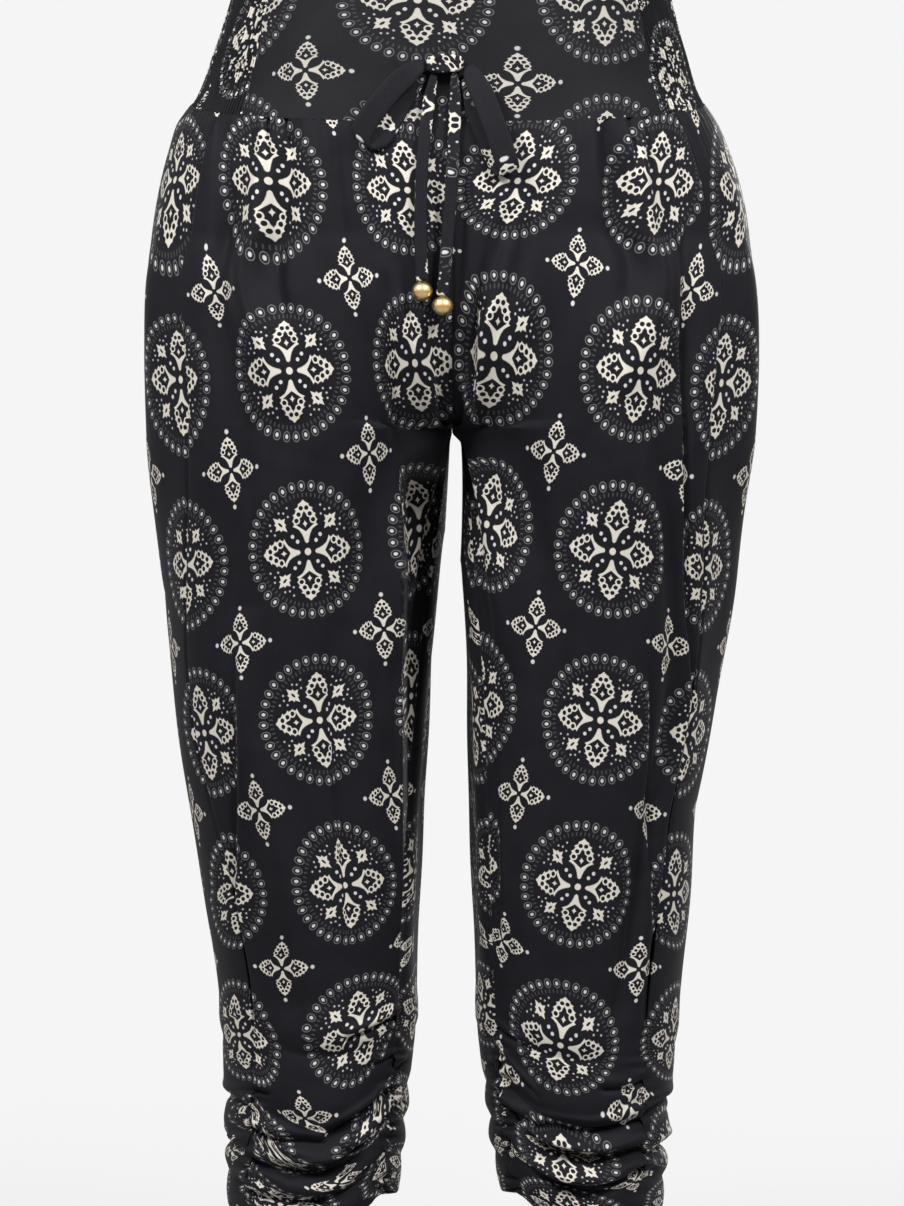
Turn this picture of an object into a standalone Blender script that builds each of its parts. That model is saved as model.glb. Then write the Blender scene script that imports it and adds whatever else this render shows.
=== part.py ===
"""Cropped jersey trousers, as worn: a wide flat yoke with smocked sides, pleated full legs that are
ruched up their seams to the hem, and a soft tie with a bead on each end.

The origin is the centre of the waist's top edge. +Z is up, the front faces -Y, and left and right are
the wearer's, so the left leg is at +X. Sizes are in millimetres until the points become a mesh.
"""

import math

import bmesh
import bpy
import numpy as np

MM = 0.001

# The cloth, and the room between pieces
WALL = 1.5
SEAM_GAP = 0.3
PANEL_GAP = 0.6  # on the outside of a curved seam, where the walls close in towards the inside
LIFT = 0.3

# The crotch: the seam leaves the front and back at PART_TOP and curves under to CROTCH, and the rings
# change from the hips' one ring to the two legs' by PART_FOOT
PART_TOP = 190
CROTCH = 315
PART_FOOT = 365
CURVE = 2.6  # how square the crotch seam's curve is
PULL_REACH = 1.8  # radians of a ring over which its inner edge is eased to the seam
ROUNDNESS = 2.2  # of a section: 2 is an ellipse, and more is squarer

# The yoke's lower seam, below the top edge, and half the yoke's width between the smocked sides
YOKE_FRONT = 119
YOKE_SIDE = 98
YOKE_BACK = 106
YOKE_LEVEL = 108
FOLDS_LEVEL = 200  # from here down, the lines across the cloth no longer follow the yoke's seam
YOKE_HALF_TOP = 115
YOKE_HALF_FOOT = 128
SMOCK_PAST_SIDE = 0.30  # radians round from the side, at the smocked panel's back edge
SIDE_RADIUS = 100  # of the waistband where the smocked panels end, for their seams' gaps
RIBS = 9
RIB_HEIGHT = 0.9

# Sections of the cloth's outside: how far down, how far out and in from the middle on each side (in
# counts below the crotch only), and how deep to the front and back
SECTION_COLUMNS = ("down", "right_out", "right_in", "left_out", "left_in", "front", "back")
SECTIONS = (
    (0, 137, 0, 137, 0, 92, 96),
    (30, 146, 0, 145, 0, 97, 102),
    (63, 157, 0, 154, 0, 103, 110),
    (97, 170, 0, 165, 0, 108, 118),
    (112, 181, 0, 175, 0, 111, 123),
    (130, 187, 0, 183, 0, 115, 128),
    (165, 195, 0, 193, 0, 118, 134),
    (200, 200, 0, 198, 0, 119, 136),
    (250, 202, 0, 201, 0, 118, 133),
    (315, 200.5, 0, 198.5, 0, 112.5, 123.5),
    (360, 196.5, 3, 191, 3, 107.5, 115.5),
    (426, 189.5, 6, 182.5, 5, 99.5, 105.5),
    (492, 183, 9, 172.5, 6, 92, 97),
    (558, 174, 13, 163, 7, 85, 90),
    (624, 163, 17, 157, 10, 78, 84),
    (690, 153, 22, 150, 15, 71, 78),
    (745, 149, 29, 144, 22, 67, 73),
    (790, 148, 33, 140, 28, 65, 70),
    (832, 147, 37, 138, 35, 63, 67),
)

# How far each seam lies forward of the leg's widest and innermost lines, measured across
SEAM_COLUMNS = ("down", "side", "inner")
SEAMS = (
    (0, 28, 0),
    (130, 28, 0),
    (315, 27, 0),
    (400, 17, 8),
    (500, 12, 14),
    (600, 20, 15),
    (700, 22, 12),
    (830, 12, 8),
)

# Level lines across the legs, from the yoke's seam to where the ruching starts
LEVELS = (108, 115, 128, 148, 174, 206, 240, 270, 292, 307, 315, 338, 380, 430, 484, 540, 594, 644)

# Lines across the ruched part, one for each ridge and hollow: how far down they cross the side seam,
# the middle of the front, the inseam and the middle of the back, and how far out the cloth stands
RUCHE_COLUMNS = ("side", "front", "inner", "back", "out")
RUCHES = {
    "right": (
        (680, 688, 674, 686, 0.0),
        (694, 706, 688, 702, 2.0),
        (706, 722, 700, 716, -0.8),
        (719, 738, 712, 730, 1.5),
        (732, 753, 724, 744, 3.5),
        (746, 769, 736, 757, -4.0),
        (759, 782, 748, 768, 4.5),
        (771, 797, 760, 780, -4.0),
        (783, 805, 772, 791, 3.0),
        (796, 814, 784, 803, -2.5),
        (809, 823, 797, 815, 2.0),
        (822, 833, 811, 827, 0.0),
    ),
    "left": (
        (684, 690, 670, 688, 0.0),
        (700, 708, 684, 704, 1.5),
        (714, 724, 697, 718, -0.5),
        (728, 738, 710, 731, 1.5),
        (743, 752, 723, 744, 3.5),
        (760, 767, 736, 757, -4.0),
        (771, 776, 748, 768, 3.5),
        (782, 786, 760, 779, -4.0),
        (793, 796, 771, 790, 4.5),
        (804, 808, 783, 802, -2.5),
        (815, 820, 796, 814, 2.0),
        (827, 832, 810, 827, 0.0),
    ),
}
SEAM_SHARE = 0.55  # of a ruche's height that is left at the seams

# Pleats and hanging folds: the panel, where the fold is across it (0 at the centre or the inseam, 1 at
# the side seam, and the other way round behind) at its top and foot, how far down it starts and ends,
# how far out it stands (less than 0 for a hollow), and half its breadth across the panel
FOLD_ENDS = 0.7  # under 1 gives a fold blunter ends
SEAM_FADE = 10  # the higher it is, the closer to a seam a fold runs before it dies away
FOLD_COLUMNS = ("panel", "top", "foot", "start", "end", "out", "half")
FOLDS = (
    ("right_front", 0.56, 0.54, 117, 250, -4.5, 0.050),
    ("right_front", 0.64, 0.64, 117, 310, 5.0, 0.060),
    ("right_front", 0.78, 0.80, 150, 470, -3.5, 0.060),
    ("right_front", 0.30, 0.42, 200, 640, -3.0, 0.080),
    ("right_front", 0.14, 0.16, 230, 470, 4.5, 0.060),
    ("right_front", 0.06, 0.06, 250, 480, -3.5, 0.050),
    ("right_front", 0.70, 0.62, 430, 700, 3.5, 0.080),
    ("left_front", 0.56, 0.54, 117, 240, -4.5, 0.050),
    ("left_front", 0.64, 0.66, 117, 300, 5.0, 0.060),
    ("left_front", 0.80, 0.88, 190, 560, -5.0, 0.060),
    ("left_front", 0.32, 0.40, 210, 620, -3.0, 0.080),
    ("left_front", 0.13, 0.15, 230, 460, 4.0, 0.060),
    ("left_front", 0.05, 0.06, 260, 470, -3.5, 0.050),
    ("left_front", 0.86, 0.78, 480, 720, -4.5, 0.060),
    ("right_back", 0.10, 0.12, 150, 420, 4.0, 0.060),
    ("right_back", 0.42, 0.46, 118, 330, -3.5, 0.060),
    ("right_back", 0.70, 0.62, 260, 560, 4.5, 0.080),
    ("right_back", 0.87, 0.88, 380, 700, -6.0, 0.070),
    ("left_back", 0.10, 0.14, 140, 560, 5.0, 0.060),
    ("left_back", 0.44, 0.46, 118, 320, -3.5, 0.060),
    ("left_back", 0.68, 0.62, 270, 540, 4.5, 0.080),
    ("left_back", 0.88, 0.88, 400, 700, -4.5, 0.070),
)

# How many faces across each panel
FRONT_FACES = 15
BACK_FACES = 14
YOKE_FACES = 14
YOKE_ROWS = 4
STRIP_STEPS = 2  # for each stretch of a route
STEP = 0.01  # radians, for measuring a ring's direction
EDGE = 1e-6
EDGE_CROWDING = 0.65  # 0 spaces the lines down a panel evenly, and 1 crowds them to its seams

# The tie: a flat strip of folded jersey, pinched where it leaves the knot
STRIP = 15
STRIP_WALL = 2.0
TAIL_STRIP = 8
PINCH = 0.4
PINCH_LENGTH = 18
KNOT = (23, 11, 12.5)
KNOT_ROUND = 3.5
KNOT_PLACE = (-4.5, -82)
BEAD = (13.4, 13.4, 12.2)

# Routes of the tie's strips, from the knot: how far to the left of the middle, how far down, and how far
# out from the cloth the strip's outer face is
TAILS = {
    "right": ((-11.5, 88.6, 6.6), (-15, 108, 5.0), (-18.5, 140, 5.0),
              (-20, 172, 6.0), (-20, 200, 7.0), (-19, 222, 8.0)),
    "left": ((1.5, 88.6, 6.6), (2, 110, 5.0), (0.5, 146, 5.0),
             (-1.5, 178, 6.0), (-4, 209, 7.0), (-6, 231.5, 8.0)),
}
LOOPS = {
    "right": ((-18.6, 81, 7.5), (-26, 87, 10.5), (-37, 97, 12.0), (-50, 113, 12.5), (-58, 127, 10.5),
              (-56, 133, 7.5), (-46, 129, 4.4), (-38, 116, 3.6), (-30, 101, 3.6), (-18.5, 87, 3.6)),
    "left": ((10.1, 84, 7.5), (15, 93, 10.5), (21, 106, 12.5), (28, 125, 12.5), (34, 143, 11.0),
             (36, 152, 8.0), (31, 147, 4.6), (23, 130, 3.8), (16, 111, 3.8), (9, 90, 3.8)),
}


def column(table, columns, name):
    return np.array([row[columns.index(name)] for row in table], float)


def smooth(places, values, at):
    """A smooth curve through the values, read at each of the places asked for."""
    slopes = np.gradient(values, places)
    k = np.clip(np.searchsorted(places, at) - 1, 0, len(places) - 2)
    span = places[k + 1] - places[k]
    s = np.clip((at - places[k]) / span, 0, 1)
    start = (1 + 2 * s) * (1 - s) ** 2 * values[k] + s * (1 - s) ** 2 * span * slopes[k]
    end = s**2 * (3 - 2 * s) * values[k + 1] - s**2 * (1 - s) * span * slopes[k + 1]
    return start + end


def section(name, down):
    places = column(SECTIONS, SECTION_COLUMNS, "down")
    return smooth(places, column(SECTIONS, SECTION_COLUMNS, name), down)


def parted(down):
    """0 where both halves are one ring, rising smoothly to 1 where there are two legs."""
    share = np.clip((down - PART_TOP) / (PART_FOOT - PART_TOP), 0, 1)
    return share**2 * (3 - 2 * share)


def half_ring(leg, down):
    """The middle and the half-width of one leg's ring, which runs past the middle above the crotch."""
    share = parted(down)
    out = section(leg + "_out", down)
    inside = section(leg + "_in", down) - out * (1 - share) / (1 + share)
    return (out + inside) / 2, (out - inside) / 2


def opening(down):
    """The turn of the ring's inner edge: a quarter where the halves join, and 0 from the crotch down."""
    share = np.clip((down - PART_TOP) / (CROTCH - PART_TOP), 0, 1)
    return np.arcsin((1 - share**CURVE) ** (1 / CURVE))


def ellipse_point(leg, down, turn):
    middle, half = half_ring(leg, down)
    power = 2 / ROUNDNESS
    across = np.sign(np.cos(turn)) * np.abs(np.cos(turn)) ** power
    deep = np.sign(np.sin(turn)) * np.abs(np.sin(turn)) ** power
    depth = np.where(deep > 0, section("front", down), section("back", down))
    return middle - half * across, -depth * deep


def ring_point(leg, down, turn):
    """x, y on the leg's ring. The turn is 0 at the inside, a quarter at the front, a half outside."""
    x, y = ellipse_point(leg, down, turn)
    edge = opening(down)
    pull = section(leg + "_in", down) - ellipse_point(leg, down, edge)[0]
    from_edge = np.minimum(np.abs(turn - edge), np.abs(2 * np.pi - edge - turn))
    return x + pull * (1 + np.cos(np.pi * np.clip(from_edge / PULL_REACH, 0, 1))) / 2, y


def outwards(leg, down, turn):
    """The way out of the ring at a turn, and the ring's length for each radian there."""
    x0, y0 = ring_point(leg, down, turn - STEP)
    x1, y1 = ring_point(leg, down, turn + STEP)
    length = np.hypot(x1 - x0, y1 - y0)
    return (y1 - y0) / length, -(x1 - x0) / length, length / (2 * STEP)


def turn_for(share):
    """The turn, from the ring's inside, at which the section has come back this share of its half."""
    return np.arccos(np.clip(share, 0, 1) ** (ROUNDNESS / 2))


def seam_turns(leg, down):
    """The turns of the inseam, or of the centre seam above it, and of the side seam."""
    half = half_ring(leg, down)[1]
    places = column(SEAMS, SEAM_COLUMNS, "down")
    side = np.pi - turn_for(1 - smooth(places, column(SEAMS, SEAM_COLUMNS, "side"), down) / half)
    inner = turn_for(1 - smooth(places, column(SEAMS, SEAM_COLUMNS, "inner"), down) / half)
    return np.where(down < CROTCH, opening(down), inner), inner, side


def panel_turn(panel, across, down):
    """The turn at a share of the way across a panel. Only the lines next to the crotch bend with it."""
    leg, face = panel.split("_")
    edge, inner, side = seam_turns(leg, down)
    share = parted(down)
    if face == "front":
        eased = np.pi / 2 * (1 - share) + inner * share
        return eased + across * (side - eased) + (edge - eased) * (1 - across) ** 3
    edge = 2 * np.pi + np.where(down < CROTCH, -edge, edge)
    eased = 2 * np.pi - np.pi / 2 * (1 - share) + inner * share
    return side + across * (eased - side) + (edge - eased) * across**3


def yoke_seam(turn):
    """How far down the yoke's lower seam is, at a turn of the hips."""
    ends = np.where(np.sin(turn) > 0, YOKE_FRONT, YOKE_BACK)
    return YOKE_SIDE + (ends - YOKE_SIDE) * np.abs(np.sin(turn))


def fold_height(panel, across, down):
    """How far out the pleats and hanging folds push the cloth, which they leave alone at the seams."""
    height = np.zeros_like(across)
    for row in FOLDS:
        fold = dict(zip(FOLD_COLUMNS, row))
        if fold["panel"] != panel:
            continue
        along = np.clip((down - fold["start"]) / (fold["end"] - fold["start"]), 0, 1)
        middle = fold["top"] + (fold["foot"] - fold["top"]) * along
        ridge = np.exp(-(((across - middle) / fold["half"]) ** 2))
        height += fold["out"] * np.sin(np.pi * along) ** FOLD_ENDS * ridge
    return height * (1 - (2 * across - 1) ** SEAM_FADE)


def leg_surface(panel, across, down, swell=0.0):
    """Points of a panel's outside, in mm, at shares across it and distances down."""
    leg = panel.split("_")[0]
    turn = panel_turn(panel, across, down)
    out_x, out_y, pace = outwards(leg, down, turn)
    edges = np.where(across < EDGE, 1, 0) - np.where(across > 1 - EDGE, 1, 0)
    turn = turn + edges * PANEL_GAP / 2 / pace
    x, y = ring_point(leg, down, turn)
    height = fold_height(panel, across, down) + swell
    x = np.maximum(x + height * out_x, SEAM_GAP / 2)
    return np.stack([x if leg == "left" else -x, y + height * out_y, -down], -1), turn


def level_lines(panel, across):
    """Distances down for the level lines, which start along the yoke's seam."""
    rows = []
    for level in LEVELS:
        share = max(0, 1 - (level - YOKE_LEVEL) / (FOLDS_LEVEL - YOKE_LEVEL))
        down = np.full_like(across, level)
        for _ in range(3):
            turn = leg_surface(panel, across, down)[1]
            down = level + share * (yoke_seam(turn) + SEAM_GAP / 2 - YOKE_LEVEL)
        rows.append(down)
    return rows


def ruche_lines(panel, across):
    """Distances down and heights for the lines of the ruched part."""
    leg, face = panel.split("_")
    ends = ("inner", "side") if face == "front" else ("side", "inner")
    rows, swells = [], []
    hump = 4 * across * (1 - across)
    for line in RUCHES[leg]:
        value = dict(zip(RUCHE_COLUMNS, line))
        start, end = value[ends[0]], value[ends[1]]
        straight = start + (end - start) * across
        rows.append(straight + (value[face] - (start + end) / 2) * hump)
        swells.append(value["out"] * (SEAM_SHARE + (1 - SEAM_SHARE) * hump))
    return rows, swells


def grid(points, mirrored=False):
    """A sheet of faces through rows of points, which run down and, seen from outside, to the right."""
    rows, columns = len(points), len(points[0])
    shape = bmesh.new()
    bmesh.ops.create_grid(shape, x_segments=columns - 1, y_segments=rows - 1, size=1)
    for vertex in shape.verts:
        i = round((1 - vertex.co.y) / 2 * (rows - 1))
        j = round((1 + vertex.co.x) / 2 * (columns - 1))
        vertex.co = points[i][j] * MM
    if mirrored:
        bmesh.ops.reverse_faces(shape, faces=shape.faces)
    return shape


def sheet(name, points, material, wall, mirrored=False):
    """A cloth wall on rows of points, grown inwards from them."""
    mesh = bpy.data.meshes.new(name)
    shape = grid(points, mirrored)
    shape.to_mesh(mesh)
    shape.free()
    mesh.shade_smooth()
    mesh.materials.append(material)
    thing = bpy.data.objects.new(name, mesh)
    solidify = thing.modifiers.new("Wall", "SOLIDIFY")
    solidify.thickness = wall * MM
    solidify.offset = -1
    trousers.objects.link(thing)
    return thing


def add_leg_panel(panel, faces, material):
    even = np.linspace(0, 1, faces + 1)
    across = even + EDGE_CROWDING * ((1 - np.cos(np.pi * even)) / 2 - even)
    levels = level_lines(panel, across)
    ruches, swells = ruche_lines(panel, across)
    rows = [leg_surface(panel, across, down)[0] for down in levels]
    rows += [leg_surface(panel, across, down, swell)[0] for down, swell in zip(ruches, swells)]
    leg, face = panel.split("_")
    sheet(f"{leg}_leg_{face}", rows, material, WALL, leg == "right")


def waist_point(around, down, height=0.0):
    """A point of the waistband. around is 0 at the front, a quarter at the left side, a half behind."""
    leg = "left" if around >= 0 else "right"
    turn = math.pi / 2 + abs(around)
    x, y = ring_point(leg, down, turn)
    out_x, out_y, _ = outwards(leg, down, turn)
    x = x + height * out_x
    return np.array([x if leg == "left" else -x, y + height * out_y, -down])


def yoke_edge(leg, share):
    """Where the flat front meets the smocked side, at a share of the way down the band."""
    half = half_ring(leg, YOKE_LEVEL * share)[1]
    reach = YOKE_HALF_TOP + (YOKE_HALF_FOOT - YOKE_HALF_TOP) * share
    return math.pi / 2 - float(turn_for(reach / half))


def band_rows(start, end, faces, height=None):
    """Rows of points for a piece of the waistband between two edges, each a function of the way down."""
    rows = []
    for i in range(YOKE_ROWS + 1):
        share = i / YOKE_ROWS
        first, last = start(share), end(share)
        row = []
        for j in range(faces + 1):
            around = first + (last - first) * j / faces
            foot = yoke_seam(math.pi / 2 + abs(around)) - SEAM_GAP / 2
            row.append(waist_point(around, foot * share, height(j) if height else 0.0))
        rows.append(row)
    return rows


def add_waistband(flat, smocked):
    """The flat front, the smocked sides and the plain back."""
    gap = PANEL_GAP / 2 / SIDE_RADIUS
    behind = math.pi / 2 + SMOCK_PAST_SIDE
    front = band_rows(lambda s: -yoke_edge("right", s), lambda s: yoke_edge("left", s), YOKE_FACES)
    sheet("yoke_front", front, flat, WALL)
    back = band_rows(lambda s: behind + gap, lambda s: 2 * math.pi - behind - gap, YOKE_FACES)
    sheet("yoke_back", back, flat, WALL)

    def rib(j):
        return -RIB_HEIGHT if j % 2 else 0.0

    left = band_rows(lambda s: yoke_edge("left", s) + 2 * gap, lambda s: behind - gap, 2 * RIBS, rib)
    sheet("smocked_left", left, smocked, WALL)
    right = band_rows(lambda s: -behind + gap, lambda s: -yoke_edge("right", s) - 2 * gap, 2 * RIBS, rib)
    sheet("smocked_right", right, smocked, WALL)


def front_of_cloth(x, down):
    """The y of the cloth's outside at the front of the hips."""
    leg = "left" if x >= 0 else "right"
    half = half_ring(leg, down)[1]
    return -section("front", down) * (1 - (abs(x) / half) ** ROUNDNESS) ** (1 / ROUNDNESS)


def strip_rows(route, width, looped):
    """Points of a flat strip along its route. A loop keeps its width square to the way it hangs."""
    middle = [np.array([x, float(front_of_cloth(x, down)) - out, -down]) for x, down, out in route]
    places = np.arange(len(middle), dtype=float)
    fine = np.linspace(0, places[-1], STRIP_STEPS * (len(middle) - 1) + 1)
    spine = np.stack([smooth(places, np.array([p[k] for p in middle]), fine) for k in range(3)], -1)
    along = np.concatenate([[0], np.cumsum(np.linalg.norm(np.diff(spine, axis=0), axis=1))])
    from_knot = np.minimum(along, along[-1] - along) if looped else along
    widths = width * (PINCH + (1 - PINCH) * np.sqrt(np.clip(from_knot / PINCH_LENGTH, 0, 1)))
    ways = np.gradient(spine, axis=0)
    if looped:
        ways = np.tile(spine[len(spine) // 2] - spine[0], (len(spine), 1))
    rows = []
    for point, way, wide in zip(spine, ways, widths):
        side = np.array([-way[2], 0, way[0]]) / np.hypot(way[0], way[2]) * wide / 2
        rows.append([point - side, point, point + side])
    return rows


def add_tie(material):
    for side, route in TAILS.items():
        sheet(f"tie_tail_{side}", strip_rows(route, TAIL_STRIP, False), material, STRIP_WALL)
    for side, route in LOOPS.items():
        sheet(f"tie_loop_{side}", strip_rows(route, STRIP, True), material, STRIP_WALL)
    x, z = KNOT_PLACE
    y = float(front_of_cloth(x, KNOT[2] / 2 - KNOT_ROUND - z)) - KNOT[1] / 2 - LIFT
    bpy.ops.mesh.primitive_cube_add(size=1, location=(x * MM, y * MM, z * MM))
    knot = bpy.context.object
    knot.name = "tie_knot"
    knot.scale = [size * MM for size in KNOT]
    bpy.ops.object.transform_apply(location=False, rotation=False, scale=True)
    bevel = knot.modifiers.new("Soft", "BEVEL")
    bevel.width = KNOT_ROUND * MM
    bevel.segments = 4
    finish(knot, material)


def add_beads(material):
    for side, route in TAILS.items():
        x, down, out = route[-1]
        y = float(front_of_cloth(x, down)) - out + STRIP_WALL / 2
        z = -down - BEAD[2] / 2 - LIFT
        place = (x * MM, y * MM, z * MM)
        bpy.ops.mesh.primitive_uv_sphere_add(segments=16, ring_count=10, radius=0.5, location=place)
        bead = bpy.context.object
        bead.name = f"bead_{side}"
        bead.scale = [size * MM for size in BEAD]
        bpy.ops.object.transform_apply(location=False, rotation=False, scale=True)
        finish(bead, material)


def finish(thing, material):
    """Shade a solid smooth, give it its material, and move it to the garment's collection."""
    thing.data.shade_smooth()
    thing.data.materials.clear()
    thing.data.materials.append(material)
    for collection in thing.users_collection:
        collection.objects.unlink(thing)
    trousers.objects.link(thing)


def new_material(name, colour, roughness, metallic=0.0):
    material = bpy.data.materials.new(name)
    material.use_nodes = True
    shader = material.node_tree.nodes["Principled BSDF"]
    shader.inputs["Base Color"].default_value = (*colour, 1)
    shader.inputs["Roughness"].default_value = roughness
    shader.inputs["Metallic"].default_value = metallic
    return material


for old in list(bpy.data.objects):
    bpy.data.objects.remove(old, do_unlink=True)

trousers = bpy.data.collections.new("trousers")
bpy.context.scene.collection.children.link(trousers)

jersey = new_material("printed jersey", (0.020, 0.020, 0.025), 0.62)
yoke_jersey = new_material("yoke jersey", (0.026, 0.026, 0.031), 0.62)
smocking = new_material("smocked jersey", (0.022, 0.022, 0.027), 0.65)
tie_jersey = new_material("tie jersey", (0.030, 0.030, 0.036), 0.6)
gold = new_material("satin gold", (0.52, 0.31, 0.08), 0.3, 1.0)

for leg_name in ("left", "right"):
    add_leg_panel(f"{leg_name}_front", FRONT_FACES, jersey)
    add_leg_panel(f"{leg_name}_back", BACK_FACES, jersey)
add_waistband(yoke_jersey, smocking)
add_tie(tie_jersey)
add_beads(gold)
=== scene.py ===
# %% [markdown]
# # Cropped jersey trousers
#
# These trousers are shown as worn, with nobody in them. A wide flat yoke sits on the hips, its sides are
# smocked, and two full legs hang from it in soft pleats. Their seams are ruched up to the hem. A soft tie
# is knotted at the front and ends in two beads. The whole garment is one viscose jersey, block-printed
# with medallions and small crosses.
#
# The packed model is loaded first. It is the fixed frame that each piece is fitted to.

# %% Load the frame
import math

import bpy
import numpy as np
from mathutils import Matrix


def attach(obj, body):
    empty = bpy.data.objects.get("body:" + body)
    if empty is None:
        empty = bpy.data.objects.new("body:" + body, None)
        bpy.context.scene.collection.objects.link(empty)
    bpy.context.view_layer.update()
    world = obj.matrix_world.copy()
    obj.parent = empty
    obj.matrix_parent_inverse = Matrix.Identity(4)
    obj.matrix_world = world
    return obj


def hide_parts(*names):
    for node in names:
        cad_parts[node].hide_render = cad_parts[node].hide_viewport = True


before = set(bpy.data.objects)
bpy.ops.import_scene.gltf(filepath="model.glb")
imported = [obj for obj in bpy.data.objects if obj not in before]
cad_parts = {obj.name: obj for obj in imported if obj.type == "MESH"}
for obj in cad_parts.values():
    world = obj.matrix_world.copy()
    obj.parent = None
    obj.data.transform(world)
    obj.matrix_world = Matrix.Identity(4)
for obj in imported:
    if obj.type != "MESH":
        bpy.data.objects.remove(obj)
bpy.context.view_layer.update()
bpy.ops.object.select_all(action="DESELECT")

# %% [markdown]
# ## Camera
#
# A long lens a few metres away keeps the trousers almost free of perspective, as a shop's studio does. The
# height of the view is given in metres at the garment, and the lens follows from it.

# %% Camera
MM = 0.001
CAMERA_DISTANCE = 4.0
VIEW_HEIGHT = 0.796
VIEW_MIDDLE = -0.428

camera_data = bpy.data.cameras.new("camera")
camera_data.sensor_fit = "VERTICAL"
camera_data.sensor_height = 24
camera_data.lens = camera_data.sensor_height * CAMERA_DISTANCE / VIEW_HEIGHT
camera = bpy.data.objects.new("camera", camera_data)
camera.location = (0, -CAMERA_DISTANCE, VIEW_MIDDLE)
camera.rotation_euler = (math.pi / 2, 0, 0)
bpy.context.scene.collection.objects.link(camera)
bpy.context.scene.camera = camera
print("lens", round(camera_data.lens, 1), "mm")

# %% [markdown]
# ## The body of the cloth
#
# Cloth that is worn takes its shape from the rings that it makes round the body. Each ring is a soft
# ellipse, given by how far it reaches out, in, forwards and back. Between the yoke and the crotch there is
# one ring, and below it there is one for each leg. Everything is in millimetres until it becomes a mesh,
# and "down" is the distance below the top edge.

# %% Sections of the cloth
SECTION_COLUMNS = ("down", "right_out", "right_in", "left_out", "left_in", "front", "back")
SECTIONS = (
    (0, 137, 0, 137, 0, 92, 96),
    (30, 146, 0, 145, 0, 97, 102),
    (63, 157, 0, 154, 0, 103, 110),
    (97, 170, 0, 165, 0, 108, 118),
    (112, 181, 0, 175, 0, 111, 123),
    (130, 187, 0, 183, 0, 115, 128),
    (165, 195, 0, 193, 0, 118, 134),
    (200, 200, 0, 198, 0, 119, 136),
    (250, 202, 0, 201, 0, 118, 133),
    (315, 198.5, 0, 195.5, 0, 112.5, 123.5),
    (360, 193.5, 3, 186.5, 3, 107.5, 115.5),
    (426, 188.5, 6, 178.5, 5, 99.5, 105.5),
    (492, 183, 9, 169.5, 6, 92, 97),
    (558, 174, 13, 161.5, 7, 85, 90),
    (624, 163, 17, 157, 10, 78, 84),
    (690, 153, 22, 150, 15, 71, 78),
    (745, 149, 29, 144, 22, 67, 73),
    (790, 148, 33, 140, 28, 65, 70),
    (832, 147, 37, 138, 35, 63, 67),
)


def column(table, columns, name):
    return np.array([row[columns.index(name)] for row in table], float)


def smooth(places, values, at):
    """A smooth curve through the values, read at each of the places asked for."""
    slopes = np.gradient(values, places)
    k = np.clip(np.searchsorted(places, at) - 1, 0, len(places) - 2)
    span = places[k + 1] - places[k]
    s = np.clip((at - places[k]) / span, 0, 1)
    start = (1 + 2 * s) * (1 - s) ** 2 * values[k] + s * (1 - s) ** 2 * span * slopes[k]
    end = s**2 * (3 - 2 * s) * values[k + 1] - s**2 * (1 - s) * span * slopes[k + 1]
    return start + end


def section(name, down):
    places = column(SECTIONS, SECTION_COLUMNS, "down")
    return smooth(places, column(SECTIONS, SECTION_COLUMNS, name), down)


print("hips", round(float(section("left_out", 250) + section("right_out", 250))), "mm across")

# %% [markdown]
# The change from one ring to two is the hard part of any trousers. Each leg's ring starts wider than its
# half of the hips, so that it runs past the middle, and only its outer part is used. As the crotch seam
# curves under, the used part grows until it is the whole ring.

# %% Rings
PART_TOP = 190
CROTCH = 315
PART_FOOT = 365
CURVE = 2.6
ROUNDNESS = 2.2


def ease(share):
    share = np.clip(share, 0, 1)
    return share**2 * (3 - 2 * share)


def parted(down):
    """0 where both halves are one ring, rising smoothly to 1 where there are two legs."""
    return ease((down - PART_TOP) / (PART_FOOT - PART_TOP))


def half_ring(leg, down):
    """The middle and the half-width of one leg's ring, which runs past the middle above the crotch."""
    share = parted(down)
    out = section(leg + "_out", down)
    inside = section(leg + "_in", down) - out * (1 - share) / (1 + share)
    return (out + inside) / 2, (out - inside) / 2


def opening(down):
    """The turn of the ring's inner edge: a quarter where the halves join, and 0 from the crotch down."""
    share = np.clip((down - PART_TOP) / (CROTCH - PART_TOP), 0, 1)
    return np.arcsin((1 - share**CURVE) ** (1 / CURVE))


def rounded(value):
    """The reach of a rounded ellipse for a sine or cosine."""
    return np.sign(value) * np.abs(value) ** (2 / ROUNDNESS)


def ellipse_point(leg, down, turn):
    middle, half = half_ring(leg, down)
    deep = rounded(np.sin(turn))
    depth = np.where(deep > 0, section("front", down), section("back", down))
    return middle - half * rounded(np.cos(turn)), -depth * deep


print("half-width at the crotch", [round(float(half_ring(leg, CROTCH)[1])) for leg in ("right", "left")])

# %% [markdown]
# The two inner edges are then drawn apart, and the rest of each ring follows them less and less. The gap
# between the legs starts wide, under a rounded top, because the cloth hangs from the crotch there.

# %% The gap between the legs
GAP_TOP = {"right": 1.0, "left": 5.5}
GAP_ROUND = 8
GAP_FROM = 325
GAP_REACH = 95
PULL_REACH = 1.8
TURN_STEP = 0.01


def gap(leg, down):
    """How far out the inner edge of a leg is."""
    wide = ease((down - CROTCH) / GAP_ROUND) * (1 - ease((down - GAP_FROM) / GAP_REACH))
    return section(leg + "_in", down) + GAP_TOP[leg] * wide


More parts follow.
